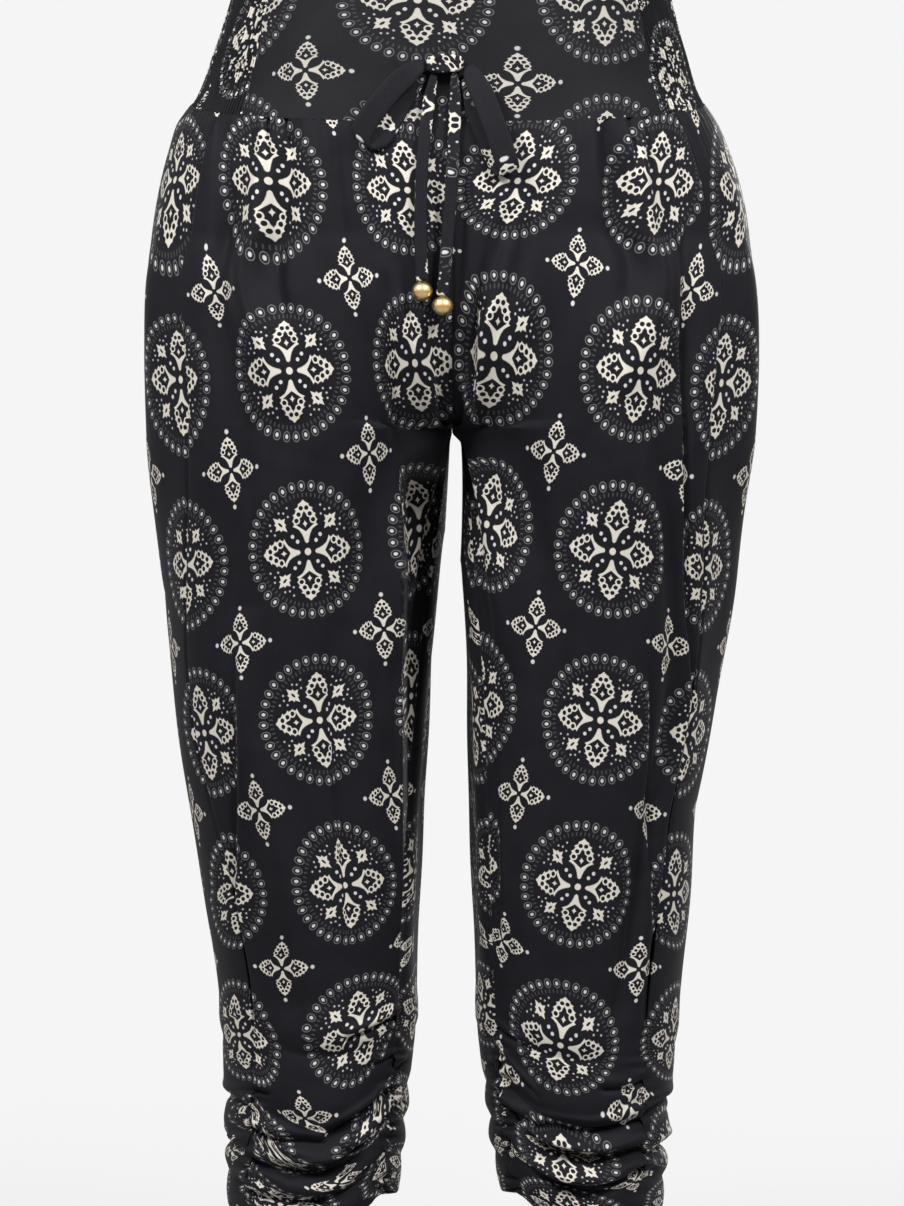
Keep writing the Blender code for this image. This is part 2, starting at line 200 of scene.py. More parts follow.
def ring_point(leg, down, turn):
    """x, y on the leg's ring. The turn is 0 at the inside, a quarter at the front, a half outside."""
    x, y = ellipse_point(leg, down, turn)
    edge = opening(down)
    pull = gap(leg, down) - ellipse_point(leg, down, edge)[0]
    from_edge = np.minimum(np.abs(turn - edge), np.abs(2 * np.pi - edge - turn))
    return x + pull * (1 + np.cos(np.pi * np.clip(from_edge / PULL_REACH, 0, 1))) / 2, y


def outwards(leg, down, turn):
    """The way out of the ring at a turn."""
    x0, y0 = ring_point(leg, down, turn - TURN_STEP)
    x1, y1 = ring_point(leg, down, turn + TURN_STEP)
    length = np.hypot(x1 - x0, y1 - y0)
    return (y1 - y0) / length, -(x1 - x0) / length


print("gap under the crotch", round(float(gap("right", GAP_FROM) + gap("left", GAP_FROM)), 1), "mm")

# %% [markdown]
# ## Panels and seams
#
# Each leg is cut as a front and a back, which meet at a side seam and an inseam. A place on a panel is
# given by a share across it and a distance down, so the same folds can be laid on either leg. The seams
# are set by how far they lie in from the ring's outer and inner edges.

# %% Seams
SEAM_COLUMNS = ("down", "side", "inner")
SEAMS = (
    (0, 28, 0),
    (130, 28, 0),
    (315, 27, 0),
    (400, 17, 8),
    (500, 12, 14),
    (600, 20, 15),
    (700, 22, 12),
    (830, 12, 8),
)


def turn_for(share):
    """The turn, from the ring's inside, at which the section has come back this share of its half."""
    return np.arccos(np.clip(share, 0, 1) ** (ROUNDNESS / 2))


def seam_turns(leg, down):
    """The turns of the inseam, or of the centre seam above it, and of the side seam."""
    half = half_ring(leg, down)[1]
    places = column(SEAMS, SEAM_COLUMNS, "down")
    side = np.pi - turn_for(1 - smooth(places, column(SEAMS, SEAM_COLUMNS, "side"), down) / half)
    inner = turn_for(1 - smooth(places, column(SEAMS, SEAM_COLUMNS, "inner"), down) / half)
    return np.where(down < CROTCH, opening(down), inner), inner, side


def panel_turn(panel, across, down):
    """The turn at a share of the way across a panel. Only the lines next to the crotch bend with it."""
    leg, face = panel.split("_")
    edge, inner, side = seam_turns(leg, down)
    share = parted(down)
    if face == "front":
        eased = np.pi / 2 * (1 - share) + inner * share
        return eased + across * (side - eased) + (edge - eased) * (1 - across) ** 3
    edge = 2 * np.pi + np.where(down < CROTCH, -edge, edge)
    eased = 2 * np.pi - np.pi / 2 * (1 - share) + inner * share
    return side + across * (eased - side) + (edge - eased) * across**3


print("side seam", round(math.degrees(seam_turns("left", 400)[2])), "degrees round the left leg")

# %% [markdown]
# Between the thighs the cloth of the right leg hangs back from the front in one deep step, so that a dark
# band shows beside the gap. Pushing that strip straight back leaves the outline as it is. With the step,
# every place on a panel has its point in space.

# %% The step at the inner thigh
STEP_LINE = 32
STEP_WALL = 3.0
STEP_BACK = 52
STEP_REACH = (317, 345, 560, 690)
STEP_SLANT = 0.6
STEP_AROUND = 1.0


def inner_step(panel, across, down, x):
    """How far back the inner strip of the right leg lies."""
    leg, face = panel.split("_")
    if leg != "right":
        return 0 * x
    start, full, ebb, end = STEP_REACH
    slant = STEP_SLANT * np.clip(x, 0, STEP_LINE)
    along = ease((down - start - slant) / (full - start)) * ease((end - down) / (end - ebb))
    if face == "front":
        return STEP_BACK * along * ease((STEP_LINE - x) / STEP_WALL)
    around = 2 * np.pi - panel_turn(panel, across, down)
    inside = ease((STEP_LINE - section("right_in", down)) / STEP_WALL)
    return STEP_BACK * along * inside * ease(1 - around / STEP_AROUND) * (around < np.pi)


def panel_points(panel, across, down, height):
    """Points of a panel in mm, with x counted outwards from the middle plane."""
    leg, face = panel.split("_")
    turn = panel_turn(panel, across, down)
    x, y = ring_point(leg, down, turn)
    out_x, out_y = outwards(leg, down, turn)
    x = np.maximum(x + height * out_x, 0)
    centre = (across == (0 if face == "front" else 1)) & (down < CROTCH)
    y = y + inner_step(panel, across, down, x)
    return np.stack([np.where(centre, 0, x), y + height * out_y, -down], -1)


print("the inner strip lies", STEP_BACK, "mm back, from", STEP_REACH[0], "to", STEP_REACH[-1], "mm down")

# %% [markdown]
# ## Lines across a leg
#
# The lines across the cloth start along the yoke's lower seam, become level over the thighs, and follow
# the ruching lower down. Ruching is cloth that is gathered up along a seam: it stands out in soft rolls
# with pinched hollows between them, and the rolls sag between the two seams. Each row of the table is the
# ridge or the hollow of one roll: how far down it is at four places, how far it stands out, how far down
# the flat cloth it lies, and how much the print leans there.

# %% Rolls of the ruching
LEVELS = (108, 115, 128, 148, 174, 206, 240, 270, 292, 307, 315, 338, 380, 430, 484, 540, 594, 644)
RUCHE_COLUMNS = ("side", "front", "inner", "back", "out", "print", "lean")
RUCHES = {
    "right": (
        (680, 688, 674, 686, 0.0, 559, 0.14),
        (694, 706, 688, 702, 2.0, 584, 0.26),
        (706, 722, 700, 716, -0.8, 604, 0.30),
        (719, 738, 712, 730, 1.2, 624, 0.30),
        (732, 753, 724, 744, 2.2, 645, 0.28),
        (746, 770, 736, 757, -1.8, 668, 0.18),
        (759, 782, 748, 768, 4.0, 694, 0.08),
        (771, 797, 760, 780, -4.0, 726, 0.04),
        (783, 805, 772, 791, 3.0, 765, 0.04),
        (796, 814, 784, 803, -2.5, 800, 0.04),
        (809, 823, 797, 815, 2.0, 832, 0.04),
        (822, 833, 811, 827, 0.0, 860, 0.04),
    ),
    "left": (
        (684, 690, 670, 688, 0.0, 559, 0.15),
        (700, 708, 684, 704, 1.5, 578, 0.16),
        (714, 724, 697, 718, -0.5, 597, 0.14),
        (728, 738, 710, 731, 1.2, 619, 0.09),
        (743, 752, 723, 744, 2.0, 641, 0.05),
        (760, 767, 736, 757, -2.0, 660, 0.0),
        (771, 776, 748, 768, 3.2, 674, -0.03),
        (782, 786, 760, 779, -4.0, 694, -0.03),
        (793, 796, 771, 790, 4.5, 728, 0.0),
        (804, 808, 783, 802, -2.5, 768, 0.0),
        (815, 820, 796, 814, 2.0, 806, 0.0),
        (827, 832, 810, 827, 0.0, 843, 0.0),
    ),
}
print("levels", len(LEVELS), "and rolls", {leg: len(rows) for leg, rows in RUCHES.items()})

# %% [markdown]
# A few key lines are set from these tables, and many more are laid between them with a smooth curve. The
# seam's line depends on the turn, and the turn on the line, so a few rounds settle each key line.

# %% Key lines
YOKE_FRONT = 119
YOKE_SIDE = 98
YOKE_BACK = 106
YOKE_LEVEL = 108
FOLDS_LEVEL = 200
LINE_ROUNDS = 3
SEAM_SHARE = 0.55
ROLL = 1.8
LEVEL_CELL = 3.0
RUCHE_CELL = 1.3


def yoke_seam(turn):
    """How far down the yoke's lower seam is, at a turn of the hips."""
    ends = np.where(np.sin(turn) > 0, YOKE_FRONT, YOKE_BACK)
    return YOKE_SIDE + (ends - YOKE_SIDE) * np.abs(np.sin(turn))


def key_lines(panel, across):
    """Distances down and heights of the cloth for the lines across a panel, one row for each line."""
    leg, face = panel.split("_")
    downs, heights = [], []
    for level in LEVELS:
        share = max(0, 1 - (level - YOKE_LEVEL) / (FOLDS_LEVEL - YOKE_LEVEL))
        down = np.full_like(across, level)
        for _ in range(LINE_ROUNDS):
            down = level + share * (yoke_seam(panel_turn(panel, across, down)) - YOKE_LEVEL)
        downs.append(down)
        heights.append(np.zeros_like(across))
    first, last = ("inner", "side") if face == "front" else ("side", "inner")
    hump = 4 * across * (1 - across)
    for row in RUCHES[leg]:
        line = dict(zip(RUCHE_COLUMNS, row))
        straight = line[first] + (line[last] - line[first]) * across
        downs.append(straight + (line[face] - (line[first] + line[last]) / 2) * hump)
        heights.append(line["out"] * (SEAM_SHARE + (1 - SEAM_SHARE) * hump))
    return np.array(downs), np.array(heights)


def fine_lines(panel, across):
    """The key lines with many more between them. Ridges stay round and hollows are pinched."""
    downs, heights = key_lines(panel, across)
    ruches = column(RUCHES[panel.split("_")[0]], RUCHE_COLUMNS, "front")
    gaps = np.diff(np.concatenate([LEVELS, ruches]))
    cells = np.where(np.arange(len(gaps)) < len(LEVELS), LEVEL_CELL, RUCHE_CELL)
    places = [k + np.arange(n) / n for k, n in enumerate(np.maximum(1, np.round(gaps / cells)))]
    at = np.concatenate(places + [[len(gaps)]])
    down = np.stack([smooth(np.arange(len(downs)), line, at) for line in downs.T], -1)
    k = np.minimum(at.astype(int), len(gaps) - 1)
    part = (at - k)[:, None]
    share = np.where(heights[k + 1] > heights[k], 1 - (1 - part) ** ROLL, part**ROLL)
    return down, heights[k] + (heights[k + 1] - heights[k]) * share, at


print("lines across a leg", len(fine_lines("left_front", np.linspace(0, 1, 9))[2]))

# %% [markdown]
# ## Folds
#
# Pleats and hanging folds are placed one by one, as a dressmaker would see them: the share of the way across
# the panel at the top and at the foot, where each one starts and ends, how far it stands out or sinks in,
# and how broad it is. Each one swells and dies away again along its length.

# %% Folds
FOLD_COLUMNS = ("top", "foot", "start", "end", "out", "half")
FOLDS = {
    "right_front": (
        (0.56, 0.54, 117, 250, -4.5, 0.050),
        (0.64, 0.64, 117, 310, 5.0, 0.060),
        (0.78, 0.80, 150, 470, -3.5, 0.060),
        (0.30, 0.42, 200, 640, -3.0, 0.080),
        (0.14, 0.16, 230, 470, 4.5, 0.060),
        (0.06, 0.06, 250, 480, -3.5, 0.050),
        (0.70, 0.62, 430, 700, 3.5, 0.080),
    ),
    "left_front": (
        (0.56, 0.54, 117, 240, -4.5, 0.050),
        (0.64, 0.66, 117, 300, 5.0, 0.060),
        (0.80, 0.88, 190, 560, -5.0, 0.060),
        (0.32, 0.40, 210, 620, -3.0, 0.080),
        (0.13, 0.15, 230, 460, 4.0, 0.060),
        (0.05, 0.06, 260, 470, -3.5, 0.050),
        (0.86, 0.78, 480, 720, -4.5, 0.060),
    ),
    "right_back": (
        (0.10, 0.12, 150, 420, 4.0, 0.060),
        (0.42, 0.46, 118, 330, -3.5, 0.060),
        (0.70, 0.62, 260, 560, 4.5, 0.080),
        (0.87, 0.88, 380, 700, -6.0, 0.070),
    ),
    "left_back": (
        (0.10, 0.14, 140, 560, 5.0, 0.060),
        (0.44, 0.46, 118, 320, -3.5, 0.060),
        (0.68, 0.62, 270, 540, 4.5, 0.080),
        (0.88, 0.88, 400, 700, -4.5, 0.070),
    ),
}
FOLD_ENDS = 0.7
SEAM_FADE = 10


def bell(off):
    """1 at the middle, falling away smoothly on both sides."""
    return np.exp(-(off**2))


def fold_height(panel, across, down):
    """How far out the pleats and hanging folds push the cloth, which they leave alone at the seams."""
    height = np.zeros_like(across)
    for row in FOLDS[panel]:
        fold = dict(zip(FOLD_COLUMNS, row))
        along = np.clip((down - fold["start"]) / (fold["end"] - fold["start"]), 0, 1)
        middle = fold["top"] + (fold["foot"] - fold["top"]) * along
        ridge = bell((across - middle) / fold["half"])
        height += fold["out"] * np.sin(np.pi * along) ** FOLD_ENDS * ridge
    return height * (1 - (2 * across - 1) ** SEAM_FADE)


print("folds", {panel: len(rows) for panel, rows in FOLDS.items()})

# %% [markdown]
# A crease is a narrow fold. The cloth laps over itself there, so a strip of it is hidden: its print jumps
# from one side of the crease to the other. Each crease is placed by how far out from the middle of the
# garment it starts and ends, in millimetres. It has a groove, a soft shoulder on one side, which is the
# inner side where its number is negative, and a width of cloth that it hides.

# %% Creases
CREASE_COLUMNS = ("top", "foot", "start", "end", "deep", "half", "shoulder", "hides")
CREASES = {
    "right_front": (
        (121, 117, 94, 152, 3.4, 1.9, 1.8, 0),
        (111, 105, 93, 140, 3.0, 1.7, 1.5, 0),
        (118, 110, 130, 260, 2.6, 5.0, 1.4, 0),
        (78, 69, 118, 222, 2.2, 5.0, 1.0, 0),
        (150, 146, 100, 240, 1.8, 6.0, 1.2, 0),
        (9, 5, 140, 236, 2.4, 4.5, 1.0, 0),
        (34, 22, 205, 262, 2.2, 4.0, 1.2, 0),
        (44, 33, 215, 335, 3.5, 3.5, 1.5, 4),
        (40, 36, 205, 352, 0, 26, 0, 14),
        (60, 50, 100, 215, 0, 20, 0, 5),
        (32, 31, 318, 640, 1.5, 1.6, 1.5, 24),
        (80, 67, 478, 655, 1.3, 1.8, 0.8, 6),
        (139, 144, 460, 705, 3.2, 2.2, -1.6, 13),
        (60, 46, 300, 500, 1.8, 7.0, 1.2, 0),
        (104, 112, 230, 430, 1.6, 8.0, 1.2, 0),
        (128, 124, 330, 520, 1.5, 6.0, -1.0, 0),
        (95, 88, 520, 690, 1.6, 7.0, 1.0, 0),
    ),
    "left_front": (
        (111, 119, 93, 146, 3.2, 1.8, -1.6, 0),
        (124, 130, 94, 170, 2.6, 2.2, -1.4, 0),
        (98, 104, 95, 180, 1.6, 4.5, -1.2, 0),
        (38, 16, 172, 252, 3.4, 4.0, 1.6, 0),
        (26, 11, 190, 268, 2.8, 3.0, 1.4, 0),
        (56, 30, 160, 262, 2.0, 6.0, 1.0, 0),
        (10, 5, 140, 236, 2.6, 4.5, 1.0, 0),
        (149, 155, 180, 450, 3.6, 2.2, -1.8, 18),
        (155, 161, 410, 580, 3.4, 3.0, -1.5, 4),
        (50, 46, 205, 350, 0, 24, 0, 2),
        (16, 15, 222, 322, 3.4, 2.2, 1.6, 13),
        (36, 34, 325, 450, 0, 12, 0, 6),
        (128, 132, 465, 665, 2.2, 2.0, -1.2, 12),
        (143, 147, 630, 705, 2.4, 5.0, -1.0, 0),
        (28, 31, 525, 650, 1.8, 2.2, 1.0, 8),
        (90, 66, 300, 490, 1.7, 7.0, 1.2, 0),
        (118, 124, 240, 440, 1.6, 8.0, -1.2, 0),
        (62, 58, 480, 680, 1.5, 7.0, 1.0, 0),
    ),
    "right_back": (
        (118, 112, 96, 160, 2.0, 1.8, 1.0, 0),
        (60, 55, 98, 170, 1.6, 1.8, -0.8, 0),
        (150, 140, 150, 430, 2.8, 2.6, 1.4, 10),
        (96, 84, 300, 560, 1.6, 5.0, 0.8, 4),
        (40, 62, 330, 520, 2.4, 3.5, -1.2, 8),
        (120, 124, 480, 690, 2.2, 2.4, -1.2, 8),
    ),
    "left_back": (
        (116, 110, 96, 165, 2.0, 1.8, 1.0, 0),
        (66, 62, 98, 160, 1.6, 1.8, -0.8, 0),
        (148, 142, 170, 460, 2.8, 2.6, 1.4, 10),
        (92, 86, 320, 580, 1.6, 5.0, 0.8, 4),
        (38, 60, 330, 500, 2.4, 3.5, -1.2, 8),
        (122, 118, 500, 690, 2.2, 2.4, -1.2, 8),
    ),
}
print("creases", {panel: len(rows) for panel, rows in CREASES.items()})

# %% [markdown]
# A crease's line is a place out from the middle, and its groove is measured along the cloth, so each row
# of points first looks up how far along the cloth that place is.

# %% Heights of the creases
CREASE_ENDS = 0.5
SHOULDER_OFF = 2.2
SHOULDER_HALF = 2.0


def creases(panel, down, x, along):
    """Heights of the creases, and how much hidden cloth they add up to each point of a panel."""
    height, hidden = np.zeros_like(x), np.zeros_like(x)
    ways = np.sign(x[:, -1:] - x[:, :1])
    for row in CREASES[panel]:
        crease = dict(zip(CREASE_COLUMNS, row))
        share = np.clip((down - crease["start"]) / (crease["end"] - crease["start"]), 0, 1)
        line = crease["top"] + (crease["foot"] - crease["top"]) * share
        place = np.array([np.interp(w * a, w * b, c) for w, a, b, c in zip(ways, line, x, along)])
        off = (along - place) / crease["half"]
        fade = np.sin(np.pi * share) ** CREASE_ENDS
        outer = ways * (1 if crease["shoulder"] >= 0 else -1)
        shoulder = abs(crease["shoulder"]) * bell((off * outer - SHOULDER_OFF) / SHOULDER_HALF)
        height += fade * (shoulder - crease["deep"] * bell(off))
        hidden += fade * crease["hides"] * ease(off / 2 + 0.5)
    return height, hidden


print("cloth hidden by the creases", sum(row[-1] for rows in CREASES.values() for row in rows), "mm")

# %% [markdown]
# The ruching pulls the cloth into slanting folds, which hang lowest in the middle of the leg and rise to
# the inner seam. Each one has a sharp dark line under it. The lines are given by their depth, their
# half-width, places across the leg and the height that they pass there, all in millimetres.

# %% Ruched creases
RUCHE_CREASES = {
    "right_front": (
        (2.6, 2.1, (150, 123, 85, 53, 30), (763, 773, 776, 756, 735)),
        (2.8, 2.2, (150, 137, 105, 79, 50, 34), (783, 789, 797, 792, 769, 754)),
        (2.2, 2.0, (144, 123, 98, 80), (807, 814, 817, 814)),
        (2.2, 1.8, (70, 56, 41, 26), (709, 705, 699, 696)),
        (1.6, 1.6, (74, 53, 40, 30), (779, 776, 764, 752)),
        (1.5, 1.5, (56, 44, 30), (728, 726, 720)),
        (1.4, 1.5, (146, 132, 118), (738, 744, 747)),
        (1.4, 1.5, (66, 52, 38), (800, 792, 781)),
    ),
    "left_front": (
        (2.6, 2.1, (24, 34, 57, 89, 122, 140), (732, 755, 766, 770, 765, 758)),
        (2.8, 2.2, (28, 41, 60, 89, 135), (738, 762, 781, 788, 782)),
        (2.3, 2.0, (34, 52, 74, 109, 130), (776, 792, 806, 801, 794)),
        (1.6, 1.6, (26, 36, 50), (702, 710, 717)),
        (1.6, 1.6, (96, 116, 136), (742, 742, 736)),
        (1.4, 1.5, (28, 42, 56), (716, 734, 746)),
    ),
    "right_back": (
        (2.4, 2.2, (150, 118, 84, 50, 30), (750, 762, 764, 744, 728)),
        (2.6, 2.3, (150, 122, 90, 56, 34), (780, 792, 798, 780, 756)),
        (2.0, 2.0, (140, 116, 84, 60), (806, 815, 817, 808)),
    ),
    "left_back": (
        (2.4, 2.2, (26, 48, 86, 120, 144), (730, 752, 768, 762, 752)),
        (2.6, 2.3, (30, 54, 92, 124, 146), (752, 778, 794, 790, 780)),
        (2.0, 2.0, (50, 76, 108, 132), (796, 812, 808, 798)),
    ),
}
RUCHE_FADE = 9
RUCHE_START = 0.4
GROOVE_SKEW = 1.5
LIP = 0.55
LIP_OFF = 2.6
LIP_HALF = 1.9


def ruche_creases(panel, down, x):
    """Heights of the slanting creases. Each groove is sharp above and soft below, with a lip over it."""
    height = np.zeros_like(x)
    for deep, half, across, downs in RUCHE_CREASES[panel]:
        order = np.argsort(across)
        places, levels = np.take(across, order), np.take(downs, order)
        off = (down - np.interp(x, places, levels)) / half
        starts = ease((x - places[0]) / RUCHE_FADE + RUCHE_START)
        ends = ease((places[-1] - x) / RUCHE_FADE + RUCHE_START)
        groove = bell(np.where(off < 0, off * GROOVE_SKEW, off / GROOVE_SKEW))
        height += starts * ends * deep * (LIP * bell((off + LIP_OFF) / LIP_HALF) - groove)
    return height


print("ruched creases", {panel: len(rows) for panel, rows in RUCHE_CREASES.items()})

# %% [markdown]
# Small things make cloth look sewn. It dips into every seam, it is lightly gathered under the yoke, and
# where a seam is ruched its edge is scalloped. These are soft waves of uneven spacing, and the waves at a
# seam are the same on both of its panels, so that the panels still meet.

# %% Uneven waves
DRIFTS = ((1.3, 6.3, 1.0), (0.9, 2.7, 2.1))
SWELL = (0.25, 4.1, 3.3)


def uneven_wave(distance, length, seed):
    """A wave whose spacing and size drift, for gathers that no machine made even."""
    turns = 2 * np.pi * distance / length
    drift = sum(much * np.sin(turns / longer + shift * seed) for much, longer, shift in DRIFTS)
    much, longer, shift = SWELL
    return (1 - much + much * np.sin(turns / longer + shift * seed)) * np.sin(turns + drift)


print("wave", np.round(uneven_wave(np.arange(0, 20, 4), 8.5, 1.0), 2))

# %% Seam details
SEAM_DIP = 1.3
SEAM_DIP_HALF = 1.3
RUCHED_DIP = 0.85
TOP_DIP = 0.05
HEM_DIP = 0.6
HEM_DIP_HALF = 1.0
GATHER = 0.7
GATHER_REACH = 17
GATHER_WAVE = 6.5
GATHER_FROM = (48, 40)
SEAM_FLAT = 620
SEAM_RUCHES = 50
PUCKER = 2.3
PUCKER_REACH = 14
PUCKER_TOP = 705
PUCKER_GROWS = 30
SIDE_PUCKER = (0.5, 8.5, 1.0)
INNER_PUCKER = (1.0, 7.8, 2.0)
SWAY = 0.5
SWAY_FADE = (15, 30)


def ruched(down):
    """0 where the side seam lies flat, rising to 1 where it is ruched."""
    return ease((down - SEAM_FLAT) / SEAM_RUCHES)


def seam_height(panel, along, down):
    """Heights of the dips, gathers and puckers. along is how far across the panel a point is, in mm."""
    face = panel.split("_")[1]
    to_start, to_end = along, along[:, -1:] - along
    side, inner = (to_end, to_start) if face == "front" else (to_start, to_end)
    below = down - down[:1]
    dip = bell(side / SEAM_DIP_HALF) * (1 - RUCHED_DIP * ruched(down))
    dip = np.maximum(dip, bell(inner / SEAM_DIP_HALF))
    dip = np.maximum(dip, TOP_DIP * bell(below / SEAM_DIP_HALF))
    dip = np.maximum(dip, HEM_DIP * bell((down[-1:] - down) / HEM_DIP_HALF))
    start, reach = GATHER_FROM
    spread = np.clip((along - start) / reach, 0, 1) if face == "front" else 1
    gathers = GATHER * spread * np.exp(-below / GATHER_REACH) * uneven_wave(along, GATHER_WAVE, len(panel))
    puckers = 0
    for (size, length, seed), off in ((SIDE_PUCKER, side), (INNER_PUCKER, inner)):
        puckers = puckers + size * uneven_wave(down, length, seed) * bell(off / PUCKER_REACH)
    puckers = PUCKER * np.clip((down - PUCKER_TOP) / PUCKER_GROWS, 0, 1) * puckers
    sway = SWAY * np.sin(down / 23 + along / 31) * np.sin(down / 41 - along / 19)
    fade = np.clip(np.minimum(side, inner) / SWAY_FADE[0], 0, 1) * np.clip(below / SWAY_FADE[1], 0, 1)
    return gathers + puckers + sway * fade - SEAM_DIP * dip


print("the side seam is ruched from", SEAM_FLAT, "to the hem at", round(RUCHES["left"][-1][0]), "mm")

# %% [markdown]
# ## Where the print lies
#
# The print belongs to the cloth and not to the space round it, so every point of a panel gets its place on
# the flat cloth, in metres, as its UV. Across a panel that is the length along the cloth from a straight
# line of medallions, which is given here by how far out it hangs on each row of the print.

# %% Across the flat cloth
REPEAT_ACROSS = 96
REPEAT_DOWN = 117
PRINT_ROWS = (-76, 40, 156, 279, 395, 503.7, 610.8, 708, 781, 832)
PRINT_LINES = {
    "right": (148, 133, 118.4, 104.2, 92.6, 85.4, 69.3, 56, 39, 26),
    "left": (156, 145, 133.8, 121, 103.2, 95.8, 81.6, 67.5, 74, 78),
}
PAST_INSEAM = 1.2


def arc_across(points, flat=0):
    """Lengths along each row. Where flat is 1 the depth doesn't count."""
    steps = np.diff(points, axis=1)
    steps[..., 1] *= 1 - (flat[:, 1:] if np.ndim(flat) else flat)
    steps = np.linalg.norm(steps, axis=2)
    return np.concatenate([np.zeros((len(points), 1)), np.cumsum(steps, axis=1)], axis=1)


def print_line(leg, points, arc):
    """How far along each row the line of medallions lies. It may lie past the inseam."""
    found = []
    for row, lengths in zip(points, arc):
        off = row[:, 0] - np.interp(-row[0, 2], PRINT_ROWS, PRINT_LINES[leg])
        if np.any(off < 0):
            k = int(np.flatnonzero(off < 0)[-1])
            found.append(lengths[k] - off[k] / (off[k + 1] - off[k]) * (lengths[k + 1] - lengths[k]))
        else:
            found.append(-PAST_INSEAM * off[0])
    return np.array(found)


print("print repeat", REPEAT_ACROSS, "by", REPEAT_DOWN, "mm")

# %% [markdown]
# Down a panel the place follows the rows of the print, which lean and sag a little where the cloth does.
# In the ruching it follows the rolls, and it runs on faster in the hollows, where most of the gathered
# cloth is hidden.

# %% Down the flat cloth
FIRST_ROW = 156
LEAN_ROWS = (156, 218, 279, 337, 395)
PRINT_LEAN = {"right": (-0.09, 0.08, 0.05, 0.12, 0.10), "left": (-0.02, 0.16, 0.08, 0.14, 0.13)}
PRINT_SAG = {"right": 6, "left": 0}
SAG_MIDDLE = 218
SAG_REACH = 34
HIDDEN = 2.0
HIDDEN_DEPTH = 4.0
BLEND_LEVELS = 3


def row_down(leg, points, out):
    """How far down the flat cloth the rows of the print put each point."""
    down = -points[..., 2]
    rows = np.arange(len(PRINT_ROWS)) - PRINT_ROWS.index(FIRST_ROW)
    lean = np.interp(down, LEAN_ROWS, PRINT_LEAN[leg])
    sag = PRINT_SAG[leg] * bell((down - SAG_MIDDLE) / SAG_REACH)
    return REPEAT_DOWN * np.interp(down, PRINT_ROWS, rows) - lean * out - sag


def print_down(leg, points, rolls, at, out):
    """How far down the flat cloth each point is. The key lines are set, and arc length fills between."""
    first = len(LEVELS)
    lines = np.arange(first, first + len(RUCHES[leg]))
    set_down, lean = (np.interp(at, lines, column(RUCHES[leg], RUCHE_COLUMNS, n)) for n in ("print", "lean"))
    set_down = set_down[:, None] - lean[:, None] * out
    steps = np.linalg.norm(np.diff(points, axis=0), axis=2)
    steps = steps * (1 + HIDDEN * np.clip(-(rolls[1:] + rolls[:-1]) / 2 / HIDDEN_DEPTH, 0, 1))
    length = np.concatenate([0 * out[:1], np.cumsum(steps, axis=0)])
    down = row_down(leg, points, out)
    top, *keys = [int(np.argmin(np.abs(at - line))) for line in (first - BLEND_LEVELS, *lines)]
    share = ((length[top : keys[0] + 1] - length[top]) / (length[keys[0]] - length[top])) ** 2
    down[top : keys[0] + 1] += (set_down[keys[0]] - down[keys[0]]) * share
    for start, end in zip(keys[:-1], keys[1:]):
        share = (length[start : end + 1] - length[start]) / (length[end] - length[start])
        down[start : end + 1] = set_down[start] + (set_down[end] - set_down[start]) * share
    return down


print("rows of the print", len(PRINT_ROWS), "from", PRINT_ROWS[0], "to", PRINT_ROWS[-1], "mm down")

# %% [markdown]
# ## A sheet of cloth
#
# Every panel is a grid of faces. The wall is grown inwards with Solidify, so that the outside keeps the
# shape that was set, and the inside gets a second material, because a print hardly shows on the back of a
# jersey.

# %% Sheets
CLOTH_WALL = 1.1
SMOOTH_ANGLE = 65


def new_piece(name, vertices, faces, places, materials):
    """An object on points in mm. Its UV map holds the places on the flat cloth of its faces' corners."""
    mesh = bpy.data.meshes.new(name)
    mesh.from_pydata((vertices * MM).tolist(), [], faces)
    mesh.uv_layers.new(name="cloth").data.foreach_set("uv", (places * MM).ravel())
    mesh.shade_smooth()
    for material in materials:
        mesh.materials.append(material)
    piece = bpy.data.objects.new(name, mesh)
    bpy.context.scene.collection.objects.link(piece)
    bpy.ops.object.select_all(action="DESELECT")
    bpy.context.view_layer.objects.active = piece
    piece.select_set(True)
    return piece


def new_sheet(name, points, places, materials, wall=CLOTH_WALL, flipped=False):
    """A cloth wall on rows of points in mm, with their places on the flat cloth."""
    rows, columns = points.shape[:2]
    corner = np.arange(rows * columns).reshape(rows, columns)
    faces = np.stack([corner[:-1, :-1], corner[1:, :-1], corner[1:, 1:], corner[:-1, 1:]], -1)
    faces = faces.reshape(-1, 4)[:, :: -1 if flipped else 1]
    corners = places.reshape(-1, 2)[faces.reshape(-1)]
    piece = new_piece(name, points.reshape(-1, 3), faces.tolist(), corners, materials)
    solidify = piece.modifiers.new("wall", "SOLIDIFY")
    solidify.thickness = wall * MM
    solidify.offset = -1
    solidify.material_offset = 1
    bpy.ops.object.modifier_apply(modifier="wall")
    bpy.ops.object.shade_smooth_by_angle(angle=math.radians(SMOOTH_ANGLE))
    return piece


def fit(piece, node):
    """The piece moves with the garment and stands for its solid, which is hidden."""
    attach(piece, "root")
    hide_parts(node)


print("cloth walls are", CLOTH_WALL, "mm thick")

# %% [markdown]
# ## Shader arithmetic
#
# The print is drawn by arithmetic, so that it is sharp at any size. A small class wraps an output socket,
# and + - * / and powers of it add Math nodes. The names of its other methods say what they work out.


